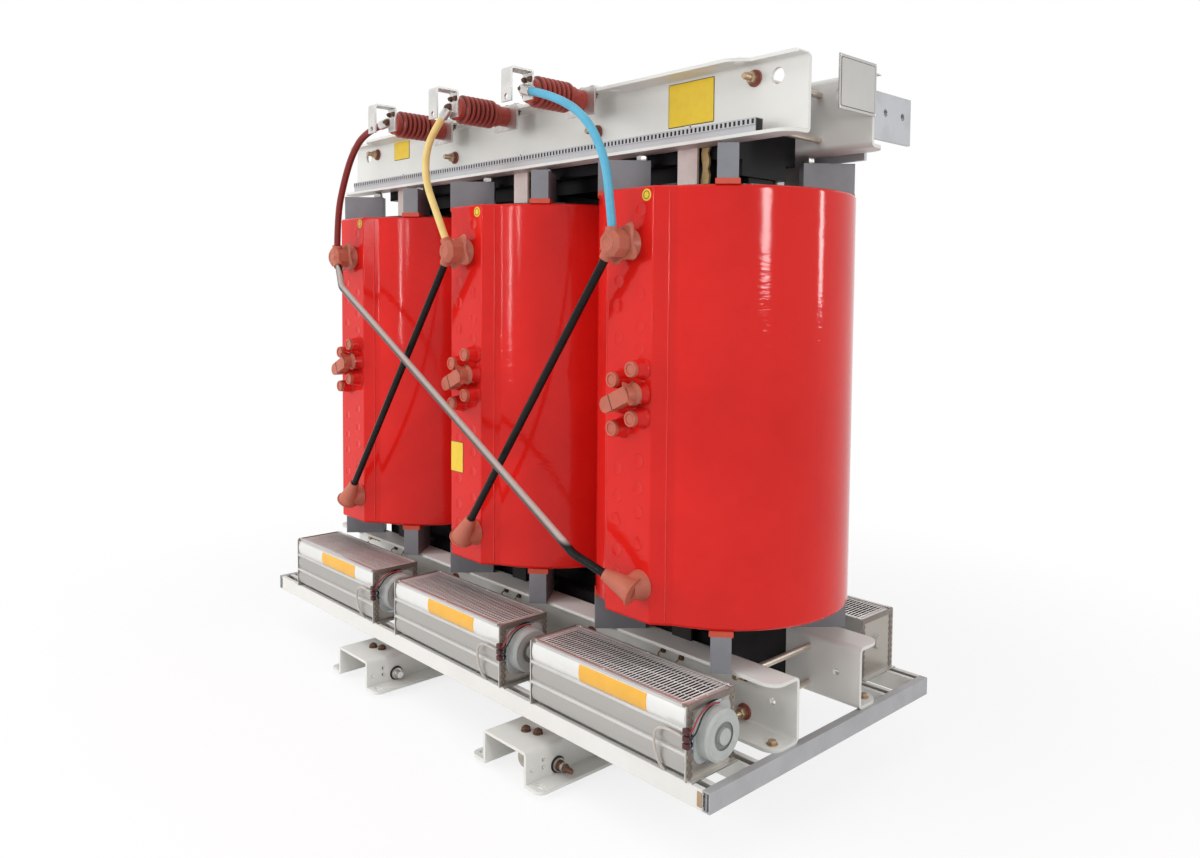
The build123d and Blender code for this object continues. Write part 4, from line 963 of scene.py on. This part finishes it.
# Fan panels: three shallow rolled strips between the beads of each housing, bright aluminium.
# They bow out a little, and the two lower ones are darkened as painted shade, which leaves the top one
# bright.

PANELS = [(0.207, 0.2425), (0.2535, 0.2912), (0.302, 0.3405)]
PANEL_HALF, PANEL_FACE, PANEL_BOW, PANEL_STEPS = 0.2455, -0.145, 0.0035, 12


def bowed(bm, x0, x1, z0, z1, lift, panel):
    """A strip of a panel's bow between two heights, standing off it by lift."""
    low, high = panel
    rows = []
    for i in range(PANEL_STEPS + 1):
        z = z0 + (z1 - z0) * i / PANEL_STEPS
        share = 2 * (z - low) / (high - low) - 1
        y = PANEL_FACE - PANEL_BOW * (1 - share * share) - lift
        front = [(x, y, z) for x in (x0, x0 + (x1 - x0) / 2, x1)]
        back = [(x, PANEL_FACE + SINK, z) for x in (x1, x0)]
        rows.append([bm.verts.new(corner) for corner in front + back])
    skin(bm, rows)


def fan_panels(bm):
    """The three bowed panels of one fan."""
    for panel in PANELS:
        bowed(bm, -PANEL_HALF, PANEL_HALF, *panel, 0.0, panel)


rolled = finish(
    "rolled_aluminium", (0.84, 0.84, 0.82), (0.7, 0.69, 0.67), size=6.0, gloss=0.36, grain=500.0,
    bump=0.0001, metallic=0.7)
tree = rolled.node_tree
pressed(rolled, stretched(tree, (3.0, 200.0, 400.0), detail=2.0), strength=0.2, distance=0.0002)
# Painted shade: the panels below the top one are darkened, so the top one reads as lit.
tinted(rolled, ramp(tree, split(tree, here(tree))["Z"], low=0.3, high=0.295), (0.44, 0.425, 0.4))
piece("fan_panels", at_fans(fan_panels), rolled)


# Fan rotors: long drums of thin curved blades inside each housing, seen through the grille.
# They are pressed from black-coated steel and turn with the motor.

BLADES = 24
BLADE = [(0.0505, 0.0), (0.043, 0.16), (0.036, 0.2), (0.0352, 0.23), (0.0425, 0.2), (0.05, 0.05)]
DRUM_END = [(0, 0.05), (0.0006, 0.051), (0.0034, 0.051), (0.004, 0.05)]


def rotor(bm):
    """The drum of one fan: end discs and a ring of blades, each drawn by radius and swing."""
    for x in (-0.232, 0.0, 0.228):
        turned(bm, (x, SHAFT_Y, ROTOR_Z), RIGHT, DRUM_END, 36)
    for i in range(BLADES):
        angles = [(radius, math.tau * i / BLADES + swing) for radius, swing in BLADE]
        outline = [(SHAFT_Y + radius * math.cos(a), ROTOR_Z + radius * math.sin(a)) for radius, a in angles]
        skin(bm, [[bm.verts.new((x, y, z)) for y, z in outline] for x in (-0.23, 0.23)])


rotor_and_shade_black = finish(
    "rotor_and_shade_black", (0.03, 0.027, 0.025), (0.07, 0.06, 0.05), size=30.0, gloss=0.5, amount=0.6, grain=600.0,
    shine=0.2)
piece("fan_rotors", at_fans(rotor), rotor_and_shade_black)


# Fan scrolls: guide sheets bent round each rotor inside the housing, black as painted shade for the dark
# inside.
# They lead the air up and out through the grille.

SCROLL = [(-0.139, 0.344), (-0.14, 0.29), (-0.137, 0.25), (-0.123, 0.22), (-0.095, 0.2095),
          (-0.05, 0.2095), (-0.022, 0.22), (-0.008, 0.25), (-0.005, 0.29), (-0.006, 0.344)]
SCROLL_HALF, SCROLL_THICK = 0.244, 0.0012


def scroll(bm):
    """The guide sheet of one fan, from its front lip round below the rotor to its back lip."""
    rows = []
    for y, z in SCROLL:
        inner_y = y + (SCROLL_THICK if y < -0.07 else -SCROLL_THICK)
        outer = [(x, y, z) for x in (-SCROLL_HALF, SCROLL_HALF)]
        inner = [(x, inner_y, z + SCROLL_THICK) for x in (SCROLL_HALF, -SCROLL_HALF)]
        rows.append([bm.verts.new(corner) for corner in outer + inner])
    skin(bm, rows)
    for x in (-0.2468, 0.245):
        slab(bm, (x, -0.14, 0.2095), (x + 0.0018, -0.005, 0.344), 0.0004)


# The scrolls' black is painted shade for the inside of the housing.
piece("fan_scrolls", at_fans(scroll), rotor_and_shade_black)


# Fan grilles: welded wire grids over the mouths, bright-drawn, with the cross wires on top.
# Each grid lies on the lips of its housing, between the long rims.

CROSS_WIRES, CROSS_FIRST, CROSS_PITCH = 47, -0.2346, 0.0102
CROSS_WIRE = [(0, 0.001), (0.0004, 0.0013), (0.1246, 0.0013), (0.125, 0.001)]
LONG_WIRE = [(0, 0.0005), (0.0004, 0.0008), (0.4836, 0.0008), (0.484, 0.0005)]


def grid(bm):
    """The wires of one grille: many across and three along."""
    for i in range(CROSS_WIRES):
        turned(bm, (CROSS_FIRST + CROSS_PITCH * i, -0.135, 0.3494), (0, 1, 0), CROSS_WIRE, 6)
    for y in (-0.106, SHAFT_Y, -0.039):
        turned(bm, (-0.242, y, 0.3478), RIGHT, LONG_WIRE, 6)


wirework = finish(
    "fan_grille", (0.72, 0.7, 0.68), (0.54, 0.51, 0.48), size=14.0, gloss=0.36, grain=600.0, metallic=0.2)
grids = piece("fan_grids", at_fans(grid), wirework)
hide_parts("fan_grilles_front", "fan_grilles_rear")


# Fan rims: folded edges of the housing along both sides of the grille, a shade darker.
# Small screws along them hold the grille down.

RIM_SCREW = [(0, 0.0032), (0.0008, 0.0032), (0.0016, 0.0024), (0.0018, 0.001)]


def long_rims(bm):
    """The two long edge strips of one fan's top, with their screws."""
    for y0, y1 in ((-0.1462, -0.137), (-0.008, 0.0008)):
        slab(bm, (-0.249, y0, FAN_TOP - FAN_SHEET), (0.249, y1, FAN_TOP), 0.0005)
        for x in (-0.236, 0.0, 0.236):
            turned(bm, (x, (y0 + y1) / 2, FAN_TOP - SINK), UP, RIM_SCREW, 14)


piece("fan_rims", at_fans(long_rims), aluminium)


# Fan cheeks: blued steel discs between each motor and its end plate, stamped and screwed on.
# The crescent above the motor shows.

CHEEK = [(0, 0.0655), (0.001, 0.0655), (0.0016, 0.0645), (0.0016, 0.02)]
CHEEK_SCREW = [(0, 0.0038), (0.001, 0.0038), (0.002, 0.0026), (0.0022, 0.001)]
SCREW_CIRCLE = 0.06


def cheek(bm):
    """The disc behind one motor, with its four screws."""
    turned(bm, (FAN_END, SHAFT_Y, MOTOR_Z), RIGHT, CHEEK, 48)
    for angle in (35, 145, 215, 325):
        turn = math.radians(angle)
        y, z = SHAFT_Y + SCREW_CIRCLE * math.cos(turn), MOTOR_Z + SCREW_CIRCLE * math.sin(turn)
        turned(bm, (FAN_END + FAN_SHEET, y, z), RIGHT, CHEEK_SCREW, 14)


blued = finish(
    "steel_blue", (0.42, 0.48, 0.55), (0.25, 0.29, 0.34), size=30.0, gloss=0.26, amount=0.6, metallic=0.75,
    edge=0.0006, worn=(0.8, 0.84, 0.88))
piece("fan_cheeks", at_fans(cheek), blued)


# Motor fronts: the cast cover's raised ring round the hub, painted with the motor.
# It is pressed on after the bearing is set.

MOTOR_FACE = 0.282
MOTOR_RING = [(0, 0.029), (0, 0.0424), (0.0034, 0.0424), (0.0036, 0.0415), (0.0036, 0.03), (0.003, 0.029)]


def motor_front(bm):
    """The raised ring on the outer face of one motor."""
    hoop(bm, (MOTOR_FACE - SINK, SHAFT_Y, MOTOR_Z), RIGHT, MOTOR_RING)


piece("motor_rings", at_fans(motor_front), motor_paint)


# Fan terminals: dark maroon moulded blocks, stacked on the front corner of each motor end.
# Red and black wires run from them over the cheek to the motor, and a pale cable to the rail.

TERMINAL_SCREW = [(0, 0.0036), (0.0008, 0.0036), (0.0012, 0.003), (0.0012, 0.001)]
RED_RUN = [(0.2605, -0.15, 0.299), (0.268, -0.149, 0.304), (0.266, -0.133, 0.325),
           (0.262, -0.108, 0.336), (0.26, -0.082, 0.339), (0.258, -0.056, 0.333)]
BLACK_RUN = [(0.2605, -0.15, 0.286), (0.272, -0.148, 0.295), (0.272, -0.136, 0.311),
             (0.266, -0.118, 0.326), (0.262, -0.096, 0.334), (0.258, -0.072, 0.335)]
WHITE_RUN = [(0.246, -0.1504, 0.285), (0.228, -0.156, 0.29), (0.2, -0.16, 0.294),
             (0.174, -0.1605, 0.283), (0.17, -0.159, 0.25), (0.179, -0.156, 0.218),
             (0.184, -0.1475, 0.2), (0.185, -0.14, 0.1925)]


def terminal_stack(bm):
    """Three small blocks on the corner of one fan."""
    for z in (0.264, 0.279, 0.294):
        slab(bm, (0.246, -0.156, z), (0.26, -0.1448, z + 0.012), 0.0012)
        turned(bm, (0.26, -0.1504, z + 0.006), RIGHT, TERMINAL_SCREW, 12)


maroon = finish(
    "moulded_maroon", (0.075, 0.02, 0.022), (0.035, 0.01, 0.012), size=60.0, gloss=0.4, edge=0.0008,
    worn=(0.22, 0.1, 0.1))
piece("fan_terminals", at_fans(terminal_stack), maroon)

wire_red = finish("wire_red", (0.34, 0.035, 0.035), (0.22, 0.02, 0.02), size=60.0, gloss=0.36)
wire_black = finish("wire_black", (0.016, 0.013, 0.014), (0.04, 0.03, 0.03), size=60.0, gloss=0.36)
wire_white = finish("wire_white", (0.5, 0.46, 0.42), (0.38, 0.34, 0.3), size=60.0, gloss=0.42)
WIRES = [("motor_wire_red_", RED_RUN, 0.0035, wire_red, "lead_red", 0.113, "medium"),
         ("motor_wire_black_", BLACK_RUN, 0.0035, wire_black, "bar_sleeve", 0.105, "medium"),
         ("fan_cable_", WHITE_RUN, 0.006, wire_white, "duct_grey", 0.17, "stiff")]
for number, place in enumerate(FANS, 1):
    for name, run, diameter, material, slot, length, stiffness in WIRES:
        points = [tuple(place @ Vector(p)) for p in run]
        wire(name + str(number), points, diameter, material)


# Fan plates: bare orange-yellow sheets stuck to the front of each housing, under the rim.
# Each follows the bow of the top panel.

def fan_plate(bm):
    """The bare plate on one fan's front."""
    bowed(bm, -0.077, 0.136, 0.3025, 0.3395, 0.0007, PANELS[2])


amber = finish(
    "enamel_amber", (0.8, 0.43, 0.06), (0.68, 0.33, 0.04), size=25.0, gloss=0.34, amount=0.4, bump=0.0001)
piece("fan_plates", at_fans(fan_plate), amber)


# Wiring duct: an extruded grey plastic trough along the upper clamp, open at its ends.
# A row of punched slots along its face lets the sensor wires out.

DUCT_SLOTS, SLOT_PITCH, SLOT_HALVES = 140, 0.01257, (0.0034, 0.0052)

duct_grey = finish(
    "duct_grey", (0.5, 0.505, 0.52), (0.42, 0.42, 0.43), size=20.0, gloss=0.4, amount=0.4, grain=500.0,
    edge=0.0008)
dress(duct_grey, "wiring_duct")
cover, duct_shade = bmesh.new(), bmesh.new()
punched(cover, (-0.8795, -0.1912, 1.535), (SLOT_PITCH, 0, 0), (0, 0, 0.015), (0, -0.001, 0), DUCT_SLOTS,
        SLOT_HALVES, 4)
piece("duct_cover", cover, duct_grey)
# Painted shade: a black sheet behind the slots and black plates in the open ends stand in for the dark
# inside of the trough.
slab(duct_shade, (-0.879, -0.1914, 1.5352), (0.8785, -0.1898, 1.5498), 0.0002)
for side in SIDES:
    slab(duct_shade, (side * 0.879, -0.188, 1.523), (side * 0.8806, -0.166, 1.549), 0.0003)
piece("duct_painted_shade", duct_shade, black_and_painted_shade)


# Plates on the clamp: two bare yellow enamelled sheets with a thin dark border.
# They are stuck on the web, and one more is on the middle winding's flat.

SHEET_THICK, ENAMEL_LIFT = 0.0008, 0.0006


def sheet(bm, corner, wide, high, radius, normal, thick=SHEET_THICK):
    """A thin plate with rounded corners on a plane; wide and high are its two edge vectors."""
    corner, wide, high, normal = (Vector(v) for v in (corner, wide, high, normal))
    long, tall = wide.length, high.length
    right, up = wide.normalized(), high.normalized()
    outline = []
    for cx, cy, start in ((long - radius, tall - radius, 0), (radius, tall - radius, 90),
                          (radius, radius, 180), (long - radius, radius, 270)):
        for step in range(5):
            angle = math.radians(start + 22.5 * step)
            across, rise = cx + radius * math.cos(angle), cy + radius * math.sin(angle)
            outline.append(corner + right * across + up * rise)
    centre = corner + wide / 2 + high / 2
    layers = []
    for lift, shrink in ((0, 1.0), (thick * 0.7, 1.0), (thick, 1 - 0.4 * thick / min(long, tall))):
        layers.append([bm.verts.new(centre + (p - centre) * shrink + normal * lift) for p in outline])
    skin(bm, layers)


plates, borders = bmesh.new(), bmesh.new()
for (x, y, z), long, tall, margin in (((0.565, SINK - WEB_FACE, 1.57), 0.145, 0.104, 0.002),
                                      ((-0.716, SINK - WEB_FACE, 1.617), 0.097, 0.062, 0.002),
                                      ((-0.072, SINK + FLAT_FACE, 0.674), 0.059, 0.085, 0.0015)):
    sheet(borders, (x, y, z), (long, 0, 0), (0, 0, tall), 0.003, FRONT)
    sheet(plates, (x + margin, y - ENAMEL_LIFT, z + margin), (long - 2 * margin, 0, 0),
          (0, 0, tall - 2 * margin), 0.002, FRONT)
piece("plate_borders", borders, ink)
piece("yellow_plates", plates, enamel)


# Hole patches: small clear films stuck over the three spare holes of the front web.
# A black dot in the middle of each is painted shade for the hole behind it.

HOLE_DOT = [(0, 0.0028), (0.0005, 0.0028), (0.0006, 0.0022), (0.0006, 0.0006)]

film = finish(
    "film_clear", (0.76, 0.755, 0.73), (0.68, 0.67, 0.64), size=30.0, gloss=0.24, amount=0.4, bump=0.0001,
    edge=0.0004, worn=(0.4, 0.39, 0.37), wear=0.8)
films, dots = bmesh.new(), bmesh.new()
for x in (-0.658, -0.017, 0.637):
    sheet(films, (x - 0.02, SINK - WEB_FACE, 1.5555), (0.04, 0, 0), (0, 0, 0.021), 0.001, FRONT)
    # The black dots are painted shade for the holes.
    turned(dots, (x, -WEB_FACE - 0.0004, 1.566), FRONT, HOLE_DOT)
piece("hole_films", films, film)
piece("hole_dots", dots, black_and_painted_shade)


# Name plate: a bare anodised sheet on the right end of the upper clamps.
# A fine dark line frames it, and four rivets hold its corners.

PLATE_FACE = 0.975
RIVET = [(0, 0.0028), (0.0008, 0.0027), (0.0014, 0.0018), (0.0016, 0.0006)]

anodised = finish(
    "plate_metal", (0.45, 0.44, 0.425), (0.37, 0.36, 0.345), size=12.0, gloss=0.38, bump=0.0001,
    metallic=0.4, edge=0.0008, worn=(0.6, 0.6, 0.6))
dress(anodised, "name_plate")
line, face, rivets = bmesh.new(), bmesh.new(), bmesh.new()
sheet(line, (PLATE_FACE - SINK, -0.014, 1.587), (0, 0.136, 0), (0, 0, 0.107), 0.006, RIGHT, 0.0006)
sheet(face, (PLATE_FACE, -0.0124, 1.5886), (0, 0.1328, 0), (0, 0, 0.1038), 0.005, RIGHT)
for y in (-0.0165, 0.1245):
    for z in (1.5845, 1.6965):
        turned(rivets, (PLATE_FACE - SINK, y, z), RIGHT, RIVET, 14)
piece("name_plate_line", line, ink)
piece("name_plate_face", face, anodised)
piece("name_plate_rivets", rivets, zinc)


# Studio: a pale floor that fades into the white surround, with soft lamps above and in front.
# The narrow lamps draw the upright streaks on the windings; the camera stands at the photo's view.

WHITE = (1, 1, 1, 1)
FLOOR_HALF, FADE_FROM, FADE_TO, FLOOR_GLOW = 5, 1.2, 2.8, 0.8
SURROUND = 0.47
EYE = Vector((2.16584, -1.8049, 1.16459))
YAW, PITCH, ROLL = (math.radians(a) for a in (46.44, 2.98, 0.53))


def lamp(name, at, target, size, energy, mirrored):
    """A soft rectangular lamp aimed at a point; glossy faces show it only where mirrored is set."""
    data = bpy.data.lights.new(name, "AREA")
    data.shape = "RECTANGLE"
    data.size, data.size_y = size
    data.energy = energy
    light = bpy.data.objects.new(name, data)
    light.location = at
    light.rotation_euler = (Vector(target) - Vector(at)).to_track_quat("-Z", "Y").to_euler()
    light.visible_glossy = mirrored
    bpy.context.scene.collection.objects.link(light)


def rays(tree, *kinds):
    """1 on rays of any of the named kinds, and 0 on the rest."""
    path = add(tree, "LightPath").outputs
    seen = path[kinds[0]]
    for kind in kinds[1:]:
        seen = maths(tree, "MAXIMUM", seen, path[kind])
    return seen


def mixed(tree, share, below, above):
    """A mix of two shader nodes by a share socket."""
    mix = add(tree, "MixShader", Fac=share)
    tree.links.new(below.outputs[0], mix.inputs[1])
    tree.links.new(above.outputs[0], mix.inputs[2])
    return mix


lamp("overhead", (0.5, -3.2, 7.6), (0, 0, 0.7), (7.5, 5.6), 205, False)
lamp("front", (-2.6, -4.3, 1.8), (0, 0, 0.7), (2.4, 2.4), 100, False)
lamp("behind_camera", (3.4, -3.3, 1.2), (0.3, 0, 0.5), (1.8, 1.8), 6, False)
lamp("right_streak", (3.79, -0.93, 1.68), (0.9, -0.17, 1.34), (0.36, 0.8), 26, True)
lamp("far_streak", (3.2, 1.92, 1.6), (0.95, -0.04, 1.34), (0.22, 0.9), 14, True)
lamp("front_streak", (0.1, -3.23, 1.5), (0.72, -0.3, 1.3), (0.06, 1.2), 10, True)
lamp("second_streak", (0.6, -3.28, 1.72), (0.75, -0.29, 1.38), (0.05, 0.5), 4, True)

floor_mesh = bpy.data.meshes.new("floor")
corners = [(x * FLOOR_HALF, y * FLOOR_HALF, 0) for x, y in ((-1, -1), (1, -1), (1, 1), (-1, 1))]
floor_mesh.from_pydata(corners, [], [(0, 1, 2, 3)])
floor = bpy.data.objects.new("floor", floor_mesh)
bpy.context.scene.collection.objects.link(floor)
pale = bpy.data.materials.new("floor_pale")
pale.use_nodes = True
tree = pale.node_tree
paint = tree.nodes["Principled BSDF"]
paint.inputs["Base Color"].default_value = (0.95, 0.95, 0.95, 1)
paint.inputs["Roughness"].default_value = 0.95
paint.inputs["Specular IOR Level"].default_value = 0.0
glow = add(tree, "Emission", Color=WHITE, Strength=1.0)
lift = maths(tree, "MULTIPLY", rays(tree, "Is Camera Ray", "Is Glossy Ray"), FLOOR_GLOW)
away = maths(tree, "LENGTH", here(tree), kind=VECTORS)
fade = add(tree, "MapRange", {"interpolation_type": "SMOOTHSTEP"}, Value=away, From_Min=FADE_FROM,
           From_Max=FADE_TO)
clear = add(tree, "BsdfTransparent")
ground = mixed(tree, fade.outputs["Result"], mixed(tree, lift, paint, glow), clear)
tree.links.new(ground.outputs[0], tree.nodes["Material Output"].inputs["Surface"])
floor_mesh.materials.append(pale)

world = bpy.data.worlds.new("studio")
bpy.context.scene.world = world
world.use_nodes = True
tree = world.node_tree
dim = tree.nodes["Background"]
dim.inputs["Color"].default_value = WHITE
dim.inputs["Strength"].default_value = SURROUND
bright = add(tree, "Background", Color=WHITE, Strength=1.0)
shown = mixed(tree, rays(tree, "Is Camera Ray", "Is Glossy Ray", "Is Transmission Ray"), dim, bright)
tree.links.new(shown.outputs[0], tree.nodes["World Output"].inputs["Surface"])

ahead = Vector((-math.sin(YAW) * math.cos(PITCH), math.cos(YAW) * math.cos(PITCH), -math.sin(PITCH)))
level = Vector((math.cos(YAW), math.sin(YAW), 0))
upright = level.cross(ahead)
right = math.cos(ROLL) * level + math.sin(ROLL) * upright
up = math.cos(ROLL) * upright - math.sin(ROLL) * level
view = bpy.data.cameras.new("view")
view.lens = 28.45
view.sensor_width = 36
view.sensor_fit = "HORIZONTAL"
view.shift_x = -0.01675
view.shift_y = -0.06898
camera = bpy.data.objects.new("view", view)
camera.matrix_world = Matrix.Translation(EYE) @ Matrix((right, up, -ahead)).transposed().to_4x4()
bpy.context.scene.collection.objects.link(camera)
bpy.context.scene.camera = camera
bpy.context.scene.view_settings.view_transform = "Standard"
